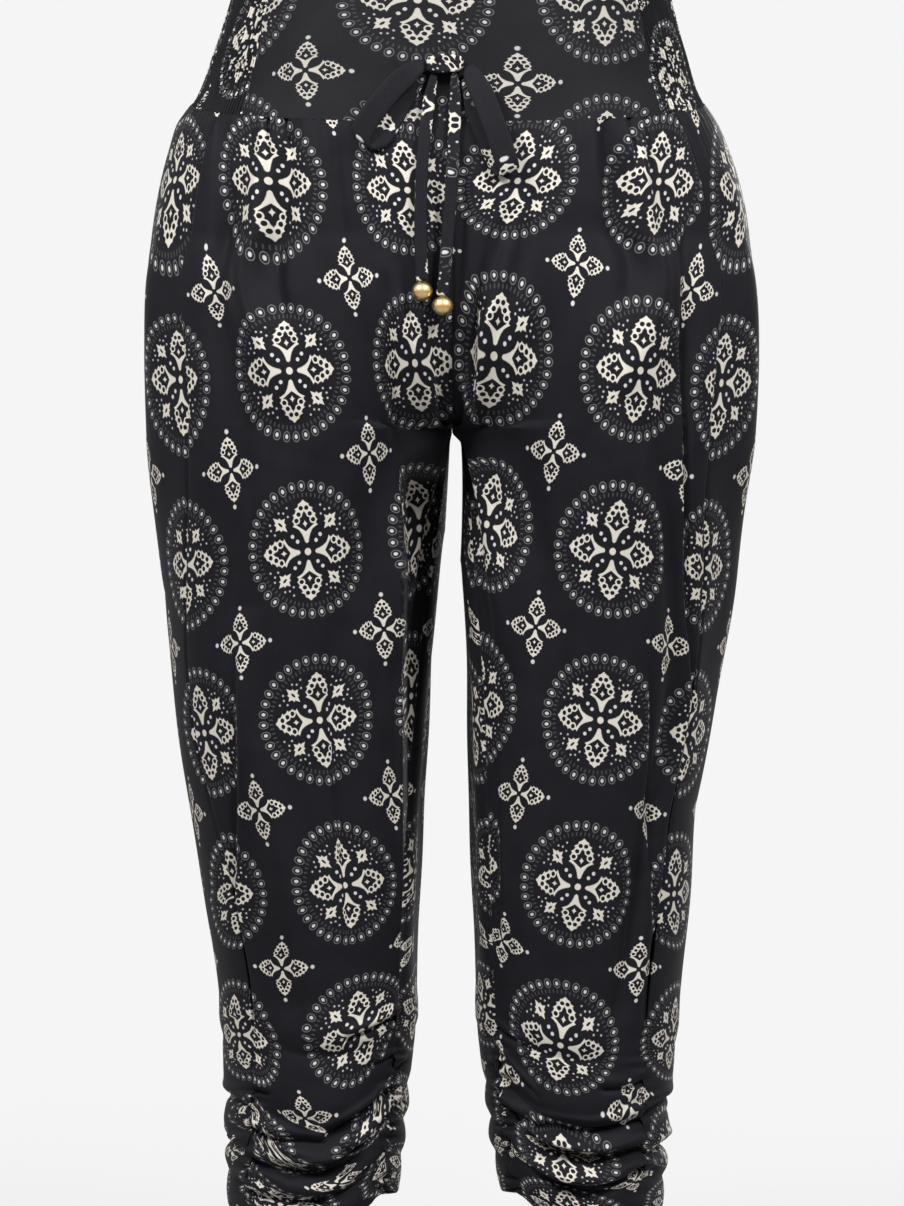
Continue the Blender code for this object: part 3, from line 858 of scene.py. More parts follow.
# %% Numbers in a shader
class Value:
    """A number in a shader."""

    def __init__(self, nodes, socket):
        self.nodes, self.socket = nodes, socket

    def __add__(self, other):
        return self.nodes.math("ADD", self, other)

    def __radd__(self, other):
        return self.nodes.math("ADD", other, self)

    def __sub__(self, other):
        return self.nodes.math("SUBTRACT", self, other)

    def __rsub__(self, other):
        return self.nodes.math("SUBTRACT", other, self)

    def __mul__(self, other):
        return self.nodes.math("MULTIPLY", self, other)

    def __rmul__(self, other):
        return self.nodes.math("MULTIPLY", other, self)

    def __truediv__(self, other):
        return self.nodes.math("DIVIDE", self, other)

    def __rtruediv__(self, other):
        return self.nodes.math("DIVIDE", other, self)

    def __pow__(self, other):
        return self.nodes.math("POWER", self, other)

    def __abs__(self):
        return self.nodes.math("ABSOLUTE", self)

    def most(self, other):
        return self.nodes.math("MAXIMUM", self, other)

    def least(self, other):
        return self.nodes.math("MINIMUM", self, other)

    def root(self):
        return self.nodes.math("SQRT", self)

    def whole(self):
        return self.nodes.math("ROUND", self)

    def under(self, limit, soft):
        """1 where the value is below the limit and 0 above it, with an edge as wide as soft."""
        return self.nodes.ramp(self, limit + soft / 2, limit - soft / 2)


print("methods of a number", len([name for name in vars(Value) if callable(getattr(Value, name))]))

# %% [markdown]
# Every other node comes from one method, which takes the node's type, its settings, and then what its
# sockets get. It serves any tree: a finish is a material's tree with its Principled shader, and the room's
# light at the end is the world's tree.


# %% Nodes and finishes
def fill_ramp(ramp, stops):
    """Grey stops on a colour ramp, each a place and a level."""
    ramp.interpolation = "LINEAR"
    while len(ramp.elements) > 1:
        ramp.elements.remove(ramp.elements[0])
    ramp.elements[0].position, level = stops[0]
    ramp.elements[0].color = (level, level, level, 1)
    for place, level in stops[1:]:
        ramp.elements.new(place).color = (level, level, level, 1)


class Nodes:
    """A tree that is built node by node."""

    def __init__(self, tree):
        self.tree = tree

    def set(self, node, key, value):
        if isinstance(value, Value):
            value = value.socket
        if isinstance(value, bpy.types.NodeSocket):
            self.tree.links.new(value, node.inputs[key])
        else:
            node.inputs[key].default_value = value

    def node(self, kind, settings=None, inputs=None):
        """A node of a kind, with its settings first and then its sockets."""
        node = self.tree.nodes.new(kind)
        for key, value in (settings or {}).items():
            if key == "stops":
                fill_ramp(node.color_ramp, value)
            else:
                setattr(node, key, value)
        for key, value in (inputs or {}).items():
            self.set(node, key, value)
        return node

    def read(self, node, name):
        return Value(self, node.outputs[name])

    def math(self, operation, *values):
        return self.read(self.node("ShaderNodeMath", {"operation": operation}, dict(enumerate(values))), 0)

    def ramp(self, value, start, end):
        """0 at start and 1 at end, eased between them."""
        settings = {"interpolation_type": "SMOOTHSTEP"}
        inputs = {"Value": value, "From Min": start, "From Max": end}
        return self.read(self.node("ShaderNodeMapRange", settings, inputs), 0)

    def noise(self, place, scale, detail=2.0):
        inputs = {"Vector": place, "Scale": scale, "Detail": detail}
        return self.read(self.node("ShaderNodeTexNoise", {}, inputs), "Fac")

    def mix(self, share, first, second):
        """A colour between two colours."""
        inputs = {0: share, 6: first, 7: second}
        return self.node("ShaderNodeMix", {"data_type": "RGBA"}, inputs).outputs[2]


class Finish(Nodes):
    """A material on its Principled shader."""

    def __init__(self, name, colour, roughness, metallic=0.0):
        self.material = bpy.data.materials.new(name)
        self.material.use_nodes = True
        super().__init__(self.material.node_tree)
        self.shader = self.tree.nodes["Principled BSDF"]
        self.set(self.shader, "Base Color", (*colour, 1))
        self.set(self.shader, "Roughness", roughness)
        self.set(self.shader, "Metallic", metallic)

    def bump(self, height, strength, distance):
        """Fine relief, which the light meets as a change of the surface's direction."""
        inputs = {"Height": height, "Strength": strength, "Distance": distance}
        self.set(self.shader, "Normal", self.node("ShaderNodeBump", {}, inputs).outputs[0])


print("finishes are built on", Finish.__base__.__name__)

# %% [markdown]
# ## The block print
#
# The motifs are traditional ones, drawn here from simple rules. A medallion has a ring of ringed dots, a
# faint ring of dashes, four pierced leaves, small stars between them and a dot in the middle. Between the
# medallions stand crosses of four such leaves. Folding the plane, by taking absolute values and the larger
# and the smaller of two numbers, draws one leaf and gives all the others.
#
# A leaf's outline is how broad it is at a few places from its stalk to its tip, with teeth like a real
# leaf's. It has three holes on each side, a heart-shaped hollow and a grain in the middle of that.

# %% The leaf
LEAF_OUTLINE = (
    (0.0, 0.0), (0.03, 0.13), (0.12, 0.20), (0.22, 0.32), (0.32, 0.52), (0.37, 0.76), (0.405, 1.0),
    (0.44, 0.86), (0.49, 0.90), (0.525, 1.0), (0.57, 0.88), (0.63, 0.82), (0.66, 0.92), (0.70, 0.72),
    (0.765, 0.62), (0.80, 0.72), (0.84, 0.46), (0.88, 0.40), (0.905, 0.42), (0.94, 0.20), (1.0, 0.0),
)
EDGE_SOFT = 0.10
TIP_SOFT = 0.02
FIRST_HOLE = (0.53, 0.66)
HOLE_STEP = (0.14, -0.22)
HOLE_SIZE = (0.050, 0.165)
LAST_HOLE = 2
RIM = 2.9
HEART_PLACE = 0.44
HEART_SIZE = (0.17, 0.30, 0.74)
GRAIN_PLACE = 0.45
GRAIN_SIZE = (0.085, 0.20)
GRAIN_POWER = 0.7


def leaf(finish, along, beside):
    """A pierced leaf. along is 0 at its stalk and 1 at its tip, and beside is 1 at its widest."""
    outline = finish.node("ShaderNodeValToRGB", {"stops": LEAF_OUTLINE}, {"Fac": along})
    body = finish.ramp(finish.read(outline, "Color") - beside, -EDGE_SOFT / 2, EDGE_SOFT / 2)
    body = body * along.under(1.0, TIP_SOFT) * (1 - along.under(0.0, TIP_SOFT))
    number = ((along - FIRST_HOLE[0]) / HOLE_STEP[0]).whole().most(0).least(LAST_HOLE)
    hole_along = (along - FIRST_HOLE[0] - number * HOLE_STEP[0]) / HOLE_SIZE[0]
    hole_beside = (beside - FIRST_HOLE[1] - number * HOLE_STEP[1]) / HOLE_SIZE[1]
    from_hole = hole_along * hole_along + hole_beside * hole_beside
    rim = 1 - from_hole.under(RIM, 0.9)
    stalk_side, tip_side, wide = HEART_SIZE
    heart_along = ((HEART_PLACE - along) / stalk_side).most((along - HEART_PLACE) / tip_side)
    heart = (heart_along + beside / wide).under(1.0, 0.14) * rim
    grain = (abs(along - GRAIN_PLACE) / GRAIN_SIZE[0]).most(0) ** GRAIN_POWER
    grain = grain + (beside / GRAIN_SIZE[1]) ** GRAIN_POWER
    return (body * (1 - from_hole.under(1.1, 0.4)) * (1 - heart)).most(grain.under(1.0, 0.25))


print("leaf outline", len(LEAF_OUTLINE), "stops")

# %% [markdown]
# A medallion is drawn in its own measures: far is 1 on its outer ring, and the angle counts the dots round
# it. A star is two crossed lozenges with an eye, and it sits on the slanting line between two leaves.

# %% The ring and the stars
RING = (36.4, 42.6)
DOTS = 36
DOT = (0.026, 0.014)
DOT_FLAT = 1.3
DOT_RING = (0.058, 0.0070, 0.009)
DASHES = 72
DASH = (0.013, 0.012)
DASH_RING = (0.862, 0.030, 0.02)
LINE_STRENGTH = (0.20, 0.085)
STAR_PLACE = 0.625
STAR_LONG = (0.160, 0.070)
STAR_BROAD = (0.070, 0.130)
STAR_SOFT = 0.14
STAR_CORE = (0.068, 0.016)
EYE_HALF = 0.046
EYE_AREA = 0.0004


def off_mark(angle, count):
    """How far an angle is from the nearest of some marks that are evenly spaced round a circle."""
    step = 2 * math.pi / count
    return angle - (angle / step).whole() * step


def ring_print(far, angle):
    """The ringed dots, and the faint lines of their rings and of the dashes inside them."""
    off = off_mark(angle, DOTS)
    outward = (far - 1) / DOT_FLAT
    from_dot = (outward * outward + off * off).root()
    place, half, soft = DOT_RING
    rings = abs(from_dot - place).under(half, soft)
    place, half, soft = DASH_RING
    dashes = abs(off_mark(angle, DASHES)).under(*DASH) * abs(far - place).under(half, soft)
    return from_dot.under(*DOT), (LINE_STRENGTH[0] * rings).most(LINE_STRENGTH[1] * dashes)


def star_print(slant, astride):
    near = abs(slant - STAR_PLACE)
    long = near / STAR_LONG[0] + astride / STAR_LONG[1]
    star = long.least(near / STAR_BROAD[0] + astride / STAR_BROAD[1]).under(1.0, STAR_SOFT)
    star = star.most((near / 1.15).most(astride).under(*STAR_CORE))
    eye = near / EYE_HALF
    eye = eye * eye + astride * astride / EYE_AREA
    return star * (1 - eye.under(1.0, 0.5))


print("a medallion is", 2 * RING[0], "by", 2 * RING[1], "mm, with", DOTS, "dots")

# %% [markdown]
# The whole print is one medallion and one cross, repeated. Taking the nearest whole number of repeats away
# from a place gives its distance from the nearest medallion. The leaves of both motifs come from one leaf,
# whose measures change from the medallion's to the cross's outside the ring.

# %% The medallion and the cross
MEDALLION_LEAF = (0.13, 0.66, 0.225)
CROSS = (17.0, 20.6)
CROSS_LEAF = (0.08, 0.94, 0.33)
INSIDE = 1.2
MIDDLE_DOT = (0.056, 0.014)
PAIR = (0.2915, 0.0575, 0.030, 0.014)
TINY_DOTS = ((0.758, 0.12), (0.694, 0.173), (0.698, 0.275), (0.60, 0.183))
TINY = (0.017, 0.012)
TINY_STRENGTH = 0.8
CROSS_TIP = (1.17, 0.072, 0.04)


def off_repeat(place, repeat):
    """How far a place is from the nearest repeat, on either side of it."""
    return abs(place - (place / repeat).whole() * repeat)


def spot(along, beside, at_along, at_beside, radius, soft):
    a, b = along - at_along, beside - at_beside
    return (a * a + b * b).root().under(radius, soft)


def small_dots(slant, astride):
    """Two dots between each star and the middle, and tiny ones round each star."""
    place, apart, radius, soft = PAIR
    dots = spot(abs(slant - place), astride, apart, 0, radius, soft)
    for at_slant, at_astride in TINY_DOTS:
        dots = dots.most(TINY_STRENGTH * spot(slant, astride, at_slant, at_astride, *TINY))
    return dots


def block_print(finish, u, v):
    """How strongly the cloth is printed at a place, in mm, with cream and with the grey white."""
    x, y = off_repeat(u, REPEAT_ACROSS), off_repeat(v, REPEAT_DOWN)
    a, b = x / RING[0], y / RING[1]
    far = (a * a + b * b).root()
    dots, lines = ring_print(far, finish.math("ARCTAN2", b, a))
    slant, astride = (a + b) * math.sqrt(0.5), abs(a - b) * math.sqrt(0.5)
    white = dots.most(small_dots(slant, astride))
    c, d = (REPEAT_ACROSS / 2 - x) / CROSS[0], (REPEAT_DOWN / 2 - y) / CROSS[1]
    at_tip, radius, soft = CROSS_TIP
    tips = spot(c.most(d), c.least(d), at_tip, 0, radius, soft)
    inside = far.under(INSIDE, 0.01)
    measures = []
    for (first, second), (start, long, wide) in (((a, b), MEDALLION_LEAF), ((c, d), CROSS_LEAF)):
        measures.append(((first.most(second) - start) / long, first.least(second) / wide))
    (m_along, m_beside), (c_along, c_beside) = measures
    along = c_along + (m_along - c_along) * inside
    beside = c_beside + (m_beside - c_beside) * inside
    cream = leaf(finish, along, beside).most(star_print(slant, astride)).most(far.under(*MIDDLE_DOT))
    return cream, white.most(tips).most(lines)


print("a cross is", 2 * CROSS[0], "by", 2 * CROSS[1], "mm")

# %% [markdown]
# ## Jersey
#
# The ground is a soft charcoal black with a little sheen, and the print is cream. Under the print runs the
# knit itself, as fine ribs of stitches, which only a close look shows. The yoke's print is drawn a little
# weaker than the legs', and the smocking's a little stronger.

# %% Jersey finishes
CREAM = (0.660, 0.620, 0.555)
WHITE = (0.600, 0.595, 0.590)
CHARCOAL = (0.0095, 0.0090, 0.0120)
YOKE_CHARCOAL = (0.0092, 0.0092, 0.0115)
TIE_CHARCOAL = (0.0110, 0.0112, 0.0140)
REVERSE = (0.030, 0.030, 0.034)
MOTTLE = (0.80, 1.22)
JERSEY_ROUGHNESS = 0.62
SHINE = {"Specular IOR Level": 0.08, "Sheen Weight": 0.02, "Sheen Roughness": 0.45}
STITCH = 0.9
STITCH_DEPTH = 0.00012
METRE = 1000


def new_jersey(name, ground, strength=1.0, printed=True):
    """Jersey in a ground colour, with the block print at a strength, or plain."""
    finish = Finish(name, ground, JERSEY_ROUGHNESS)
    for key, value in SHINE.items():
        finish.set(finish.shader, key, value)
    place = finish.node("ShaderNodeUVMap", {"uv_map": "cloth"}).outputs["UV"]
    split = finish.node("ShaderNodeSeparateXYZ", {}, {"Vector": place})
    u, v = finish.read(split, "X") * METRE, finish.read(split, "Y") * METRE
    mottle = finish.noise(place, 900.0) * 0.5 + finish.noise(place, 45.0, 3.0) * 0.5
    dark, light = ((*(c * share for c in ground), 1) for share in MOTTLE)
    colour = finish.mix(finish.ramp(mottle, 0.3, 0.7), dark, light)
    if printed:
        cream, white = block_print(finish, u, v)
        ink = (0.88 + finish.noise(place, 700.0) * 0.20) * strength
        colour = finish.mix((white * ink).least(1), colour, (*WHITE, 1))
        colour = finish.mix((cream * ink).least(1), colour, (*CREAM, 1))
    finish.set(finish.shader, "Base Color", colour)
    ribs = finish.math("SINE", u * (2 * math.pi / STITCH))
    rows = finish.math("SINE", v * (2 * math.pi / STITCH) + abs(ribs) * 2.0)
    finish.bump(ribs * 0.5 + rows * 0.3 + finish.noise(place, 2600.0) * 0.5, 0.25, STITCH_DEPTH)
    return finish.material


leg_jersey = new_jersey("printed jersey", CHARCOAL)
yoke_jersey = new_jersey("yoke jersey", YOKE_CHARCOAL, 0.68)
smocked_jersey = new_jersey("smocked jersey", YOKE_CHARCOAL, 1.15)
tie_jersey = new_jersey("tie jersey", TIE_CHARCOAL)
wrong_side = new_jersey("jersey reverse", REVERSE, printed=False)
print("jersey nodes", len(leg_jersey.node_tree.nodes))

# %% [markdown]
# ## The tie
#
# The tie is a flat strip of folded jersey, knotted in a bow. Its two tails hang free, and a bead is
# threaded on the end of each. The two loops of the bow go back into the knot. Each of the four stretches
# is a strip with its own length. A route is a list of points, each with how far out to the
# side, how far down and how far in front of the cloth it lies, in millimetres.

# %% Routes of the tie
STRIP = 15
TAIL_STRIP = 8
STRIP_WALL = 2.0
TAILS = {
    "right": ((-11.5, 88.6, 6.6), (-15, 108, 5.0), (-18.5, 140, 5.0),
              (-20, 172, 6.0), (-20, 200, 7.0), (-19, 222, 8.0)),
    "left": ((1.5, 88.6, 6.6), (2, 110, 5.0), (0.5, 146, 5.0),
             (-1.5, 178, 6.0), (-4, 209, 7.0), (-6, 231.5, 8.0)),
}
LOOPS = {
    "right": ((-18.6, 81, 7.5), (-26, 87, 10.5), (-37, 97, 12.0), (-50, 113, 12.5), (-58, 127, 10.5),
              (-56, 133, 7.5), (-46, 129, 4.4), (-38, 116, 3.6), (-30, 101, 3.6), (-18.5, 87, 3.6)),
    "left": ((10.1, 84, 7.5), (15, 93, 10.5), (21, 106, 12.5), (28, 125, 12.5), (34, 143, 11.0),
             (36, 152, 8.0), (31, 147, 4.6), (23, 130, 3.8), (16, 111, 3.8), (9, 90, 3.8)),
}


def front_of_cloth(x, down):
    """The y of the cloth's outside at the front of the hips."""
    leg = "left" if x >= 0 else "right"
    half = half_ring(leg, down)[1]
    return -section("front", down) * (1 - (abs(x) / half) ** ROUNDNESS) ** (1 / ROUNDNESS)


def strip_y(x, down, out):
    """The y of the middle of a strip that lies some way out from the cloth."""
    return float(front_of_cloth(x, down)) - out + STRIP_WALL / 2


def spine_of(route, steps):
    """A smooth line through a route's points, in mm, down the middle of the strip's thickness."""
    knots = np.array([[x, strip_y(x, down, out), -down] for x, down, out in route])
    at = np.linspace(0, len(route) - 1, steps)
    return np.stack([smooth(np.arange(len(route)), line, at) for line in knots.T], -1)


print("points of the routes", [len(route) for route in (*TAILS.values(), *LOOPS.values())])

# %% [markdown]
# A strip is a flat tube that follows its route. It is drawn in at the knot, where the cloth is pinched,
# and a shallow groove runs down each of its faces, because it is folded cloth with an edge on either side.

# %% Strips
RING_POINTS = 24
PINCH = 0.4
PINCH_LENGTH = 18
PINCH_SWELL = 0.6
EDGE_POWER = 0.6
FACE_POWER = 0.8
GROOVE = 0.35
GROOVE_HALF = 0.3


def unit(vectors):
    return vectors / np.linalg.norm(vectors, axis=1)[:, None]


def powered(value, power):
    return np.sign(value) * np.abs(value) ** power


def strip_frame(spine, looped):
    """The ways across a strip and through its thickness, at each point of its spine."""
    ways = np.gradient(spine, axis=0)
    sides = np.tile(spine[len(spine) // 2] - spine[0], (len(spine), 1)) if looped else ways
    side = unit(np.stack([-sides[:, 2], 0 * sides[:, 0], sides[:, 0]], -1))
    ways = unit(ways)
    if not looped:
        side = side - ways * (side * ways).sum(axis=1)[:, None]
    return side, unit(np.cross(side, ways))


def strip_rings(spine, width, looped):
    """Rings of points round a strip, and how far along it each ring is."""
    steps = np.linalg.norm(np.diff(spine, axis=0), axis=1)
    along = np.concatenate([[0], np.cumsum(steps)])
    from_knot = np.minimum(along, along[-1] - along) if looped else along
    pinch = PINCH + (1 - PINCH) * np.sqrt(np.clip(from_knot / PINCH_LENGTH, 0, 1))
    side, thick = strip_frame(spine, looped)
    turn = np.linspace(0, 2 * np.pi, RING_POINTS, endpoint=False)
    flat = powered(np.cos(turn), EDGE_POWER)
    deep = powered(np.sin(turn), FACE_POWER) * (1 - GROOVE * bell(flat / GROOVE_HALF))
    across = flat[None, :] * (pinch * width / 2)[:, None]
    through = deep[None, :] * (STRIP_WALL / 2 * (1 + PINCH_SWELL * (1 - pinch)))[:, None]
    points = spine[:, None] + across[..., None] * side[:, None] + through[..., None] * thick[:, None]
    return points, along


print("points round a strip", RING_POINTS)

# %% [markdown]
# The tube is closed at both ends. Its last column of places on the flat cloth comes back to the first
# column of points, so that the print runs on round it instead of turning back.

# %% Make the tie's strips
PRINT_SHIFT = {
    "tail_right": (29.5, 37), "tail_left": (12, -32), "loop_right": (26, -32), "loop_left": (26, -32),
}
STRIP_KINDS = {"tail": (TAILS, TAIL_STRIP, 60), "loop": (LOOPS, STRIP, 90)}


def new_tube(name, points, places, material):
    """A closed tube on rings of points, with its ends capped."""
    rings, count = points.shape[:2]
    corners = [
        [(i, j), (i, j + 1), (i + 1, j + 1), (i + 1, j)] for i in range(rings - 1) for j in range(count)
    ]
    corners.append([(0, j) for j in reversed(range(count))])
    corners.append([(rings - 1, j) for j in range(count)])
    faces = [[i * count + j % count for i, j in face] for face in corners]
    marks = np.array([places[i, j] for face in corners for i, j in face])
    piece = new_piece(name, points.reshape(-1, 3), faces, marks, [material])
    bpy.ops.object.mode_set(mode="EDIT")
    bpy.ops.mesh.select_all(action="SELECT")
    bpy.ops.mesh.normals_make_consistent(inside=False)
    bpy.ops.object.mode_set(mode="OBJECT")
    return piece


strips = {}
for kind, (routes, width, steps) in STRIP_KINDS.items():
    for side, route in routes.items():
        spine = spine_of(route, steps)
        points, along = strip_rings(spine, width, kind == "loop")
        shift = PRINT_SHIFT[f"{kind}_{side}"]
        around = np.linspace(0, 2 * width, RING_POINTS + 1)
        places = np.stack(np.broadcast_arrays(around[None, :] + shift[0], along[:, None] + shift[1]), -1)
        piece = new_tube(f"tie_{kind}_{side}_strip", points, places, tie_jersey)
        strips[f"tie_{kind}_{side}"] = (piece, spine, float(along[-1]))
print({name: round(length) for name, (_, _, length) in strips.items()}, "mm")

# %% [markdown]
# ## Beads
#
# The beads are satin gold. Clouds in the colour and in the roughness keep the metal from looking like
# plastic, and a very fine relief breaks its highlights.


# %% Gold
def new_gold():
    finish = Finish("satin gold", (0.80, 0.58, 0.27), 0.30, 1.0)
    place = finish.node("ShaderNodeTexCoord").outputs["Object"]
    cloud = finish.noise(place, 260.0, 3.0)
    colour = finish.mix(cloud, (0.70, 0.48, 0.20, 1), (0.86, 0.64, 0.32, 1))
    finish.set(finish.shader, "Base Color", colour)
    finish.set(finish.shader, "Roughness", 0.24 + cloud * 0.14)
    finish.bump(finish.noise(place, 1800.0), 0.08, 0.0002)
    return finish.material


gold = new_gold()
print("gold nodes", len(gold.node_tree.nodes))

# %% [markdown]
# A bead is a slightly flattened ball with a hole down its middle. It starts as a sphere. The faces at each
# pole are taken away, and the edge that is left is extruded inwards twice: a little for the rim, and
# deeper for the bore, which is closed at its foot.

# %% Beads
BEAD = (13.4, 13.4, 12.2)
BEAD_LIFT = 0.3
POLE = 0.485
RIM_DEPTH = 0.05
RIM_SHARE = 0.8
BORE_DEPTH = 0.25
BEAD_ANGLE = 50


def select_pole(piece, end):
    """Select the faces at one end of a ball. The piece is in edit mode again afterwards."""
    bpy.ops.object.mode_set(mode="OBJECT")
    mesh = piece.data
    chosen = [face.center.z * end > POLE for face in mesh.polygons]
    mesh.polygons.foreach_set("select", chosen)
    mesh.vertices.foreach_set("select", [False] * len(mesh.vertices))
    mesh.edges.foreach_set("select", [False] * len(mesh.edges))
    for face in mesh.polygons:
        if face.select:
            for v in face.vertices:
                mesh.vertices[v].select = True
    bpy.ops.object.mode_set(mode="EDIT")
    bpy.ops.mesh.select_mode(type="FACE")


def sink_pole(bead, end):
    """Open one end of the bead and sink its bore."""
    select_pole(bead, end)
    bpy.ops.mesh.delete(type="FACE")
    bpy.ops.mesh.select_mode(type="EDGE")
    bpy.ops.mesh.select_all(action="DESELECT")
    bpy.ops.mesh.select_non_manifold()
    bpy.ops.mesh.extrude_edges_move(TRANSFORM_OT_translate={"value": (0, 0, -RIM_DEPTH * end)})
    bpy.ops.transform.resize(value=(RIM_SHARE, RIM_SHARE, 1), center_override=(0, 0, 0))
    bpy.ops.mesh.extrude_edges_move(TRANSFORM_OT_translate={"value": (0, 0, -BORE_DEPTH * end)})
    bpy.ops.mesh.edge_face_add()


def place_piece(piece, size, place):
    """Give a piece of unit size its size and place, both in mm, and put them into its mesh."""
    piece.scale = [length * MM for length in size]
    piece.location = [length * MM for length in place]
    bpy.ops.object.transform_apply(location=True, rotation=True, scale=True)


def add_bead(name, route):
    x, down, out = route[-1]
    bpy.ops.object.select_all(action="DESELECT")
    bpy.ops.mesh.primitive_uv_sphere_add(segments=48, ring_count=32, radius=0.5)
    bead = bpy.context.object
    bead.name = bead.data.name = f"{name}_gold"
    bpy.ops.object.mode_set(mode="EDIT")
    for end in (1, -1):
        sink_pole(bead, end)
    bpy.ops.mesh.select_all(action="SELECT")
    bpy.ops.mesh.normals_make_consistent(inside=False)
    bpy.ops.object.mode_set(mode="OBJECT")
    place_piece(bead, BEAD, (x, strip_y(x, down, out), -down - BEAD[2] / 2 - BEAD_LIFT))
    bpy.ops.object.shade_smooth_by_angle(angle=math.radians(BEAD_ANGLE))
    bead.data.materials.append(gold)
    fit(bead, name)
    return bead


beads = {side: add_bead(f"bead_{side}", TAILS[side]) for side in TAILS}
print("beads", [len(bead.data.polygons) for bead in beads.values()], "faces")

# %% [markdown]
# ## The tie's cords
#
# Limp cloth strips hang from the knot. Each tail ends in a bead, and each loop goes back into the
# garment's knot. Each strip moves with the garment and stands for its solid.

for side in TAILS:
    name = f"tie_tail_{side}"
    piece, spine, length = strips[name]
    fit(piece, name)
    spine[0] * MM
    length * MM
    spine * MM
for side in LOOPS:
    name = f"tie_loop_{side}"
    piece, spine, length = strips[name]
    fit(piece, name)
    spine[0] * MM
    length * MM
    spine * MM
print("cords declared", len(strips))

# %% [markdown]
# ## The knot
#
# The knot is the same strip wrapped once round itself, so it shows as two soft lumps with a pinch between
# them. A cube is cut into a small grid, its middle is drawn in, its ends are narrowed and the whole is
# slanted a little. A subdivision surface softens it.

# %% Knot
KNOT = (23, 11, 12.5)
KNOT_PLACE = (-4.5, -82)
KNOT_TOUCH = 84.75
KNOT_GROWS = 1.04
KNOT_CUTS = 3
KNOT_LEVELS = 3
KNOT_PRINT = (0.030, 0.4, 0.06)


def knot_point(x, y, z):
    """Where a point of the unit cube lies on the knot."""
    lump = 1 - 0.62 * math.exp(-(((x - 0.02 - 0.25 * z) / 0.12) ** 2))
    end = 1 - 0.45 * max(0, abs(x) - 0.3) / 0.2
    return x, y * lump * (0.75 + 0.25 * end), z * (0.5 + 0.5 * lump) * end + 0.10 * x


bpy.ops.object.select_all(action="DESELECT")
bpy.ops.mesh.primitive_cube_add(size=1)
knot = bpy.context.object
knot.name = knot.data.name = "tie_knot_wrap"
bpy.ops.object.mode_set(mode="EDIT")
bpy.ops.mesh.subdivide(number_cuts=KNOT_CUTS)
bpy.ops.object.mode_set(mode="OBJECT")
for vertex in knot.data.vertices:
    vertex.co = knot_point(*vertex.co)
soft = knot.modifiers.new("soft", "SUBSURF")
soft.levels = soft.render_levels = KNOT_LEVELS
bpy.ops.object.modifier_apply(modifier="soft")
knot_y = float(front_of_cloth(KNOT_PLACE[0], KNOT_TOUCH)) - KNOT[1] / 2
place_piece(knot, [size * KNOT_GROWS for size in KNOT], (KNOT_PLACE[0], knot_y, KNOT_PLACE[1]))
print("knot", len(knot.data.polygons), "faces")

# %% [markdown]
# The cube's own UV map would cut the print into six. The places on the flat cloth come from the knot's
# shape instead, as if the strip went straight over it.

# %% The knot's print
layer = knot.data.uv_layers.active
layer.name = "cloth"
start, slope, level = KNOT_PRINT
for loop in knot.data.loops:
    co = knot.data.vertices[loop.vertex_index].co
    layer.data[loop.index].uv = (co.x + start + co.z * slope, co.z - co.y + level)
knot.data.materials.clear()
knot.data.materials.append(tie_jersey)
knot.data.shade_smooth()
fit(knot, "tie_knot")
print("knot's cloth", [round(max(corner.uv[k] for corner in layer.data) / MM) for k in (0, 1)], "mm at most")

# %% [markdown]
# ## The legs
#
# Each panel is built in one go: its lines, its folds and its seams give the heights, the heights give the
# points, and the points give the places on the flat cloth. The heights are tuned here, each kind by its
# own gain.

# %% The cloth of a leg panel
EDGE_CROWDING = 0.65
ROLL_EDGES = 0.32
ROLL_GAIN = 1.2
FOLD_GAIN = 1.7
DROOP = 1.2
CREASE_GAIN = 1.3
RUCHE_GAIN = 2.1
FLAT_PATCH = ((75, 25), (240, 40), (345, 20))
LIFT_PATCH = ((42, 20), (322, 26), (470, 50))
STEP_LIFT = 6


def leg_columns(count):
    """Shares across a panel, a little closer together at its two seams."""
    even = np.linspace(0, 1, count + 1)
    return even + EDGE_CROWDING * ((1 - np.cos(np.pi * even)) / 2 - even)


def inner_patch(x, down, patch):
    """1 on a patch of the inner thigh. It has an outer edge, a top and a foot, each with its softness."""
    (out, out_soft), (top, top_soft), (foot, foot_soft) = patch
    return ease((out - x) / out_soft) * ease((down - top) / top_soft) * ease((foot - down) / foot_soft)


def leg_cloth(panel, count):
    """Points in mm, the heights of the rolls, the lines' numbers, the cloth across, and the print's lift."""
    line = leg_columns(count)
    down, rolls, at = fine_lines(panel, line)
    across = np.broadcast_to(line, down.shape)
    plain = panel_points(panel, across, down, np.zeros_like(down))
    step = inner_step(panel, across, down, plain[..., 0])
    plain[..., 1] -= step
    x = plain[..., 0]
    along = arc_across(plain, inner_patch(x, down, FLAT_PATCH) * (1 - across) * panel.endswith("front"))
    gain = ROLL_EDGES + ROLL_GAIN * np.sin(np.pi * across) ** 2
    height = gain * rolls + FOLD_GAIN * fold_height(panel, across, down) + seam_height(panel, along, down)
    folded, hidden = creases(panel, down, x, along)
    height = height + CREASE_GAIN * folded + RUCHE_GAIN * ruche_creases(panel, down, x)
    points = panel_points(panel, across, down, height)
    points[..., 2] -= DROOP * np.sin(np.pi * across) * np.maximum(rolls, 0)
    lift = inner_patch(x, down, LIFT_PATCH) if panel == "left_front" else step / STEP_BACK
    return points, rolls, at, along + hidden, STEP_LIFT * lift


print("columns next to a seam", np.round(leg_columns(120)[:4], 4))

# %% [markdown]
# The front's print is laid first. The back's starts at the side seam, past the cloth that the seam takes
# up, and in the ruching the two run on without a break. Above the hips' fullest level the back's cloth
# stays nearly as wide and is eased into the yoke, so its print lies closer there.

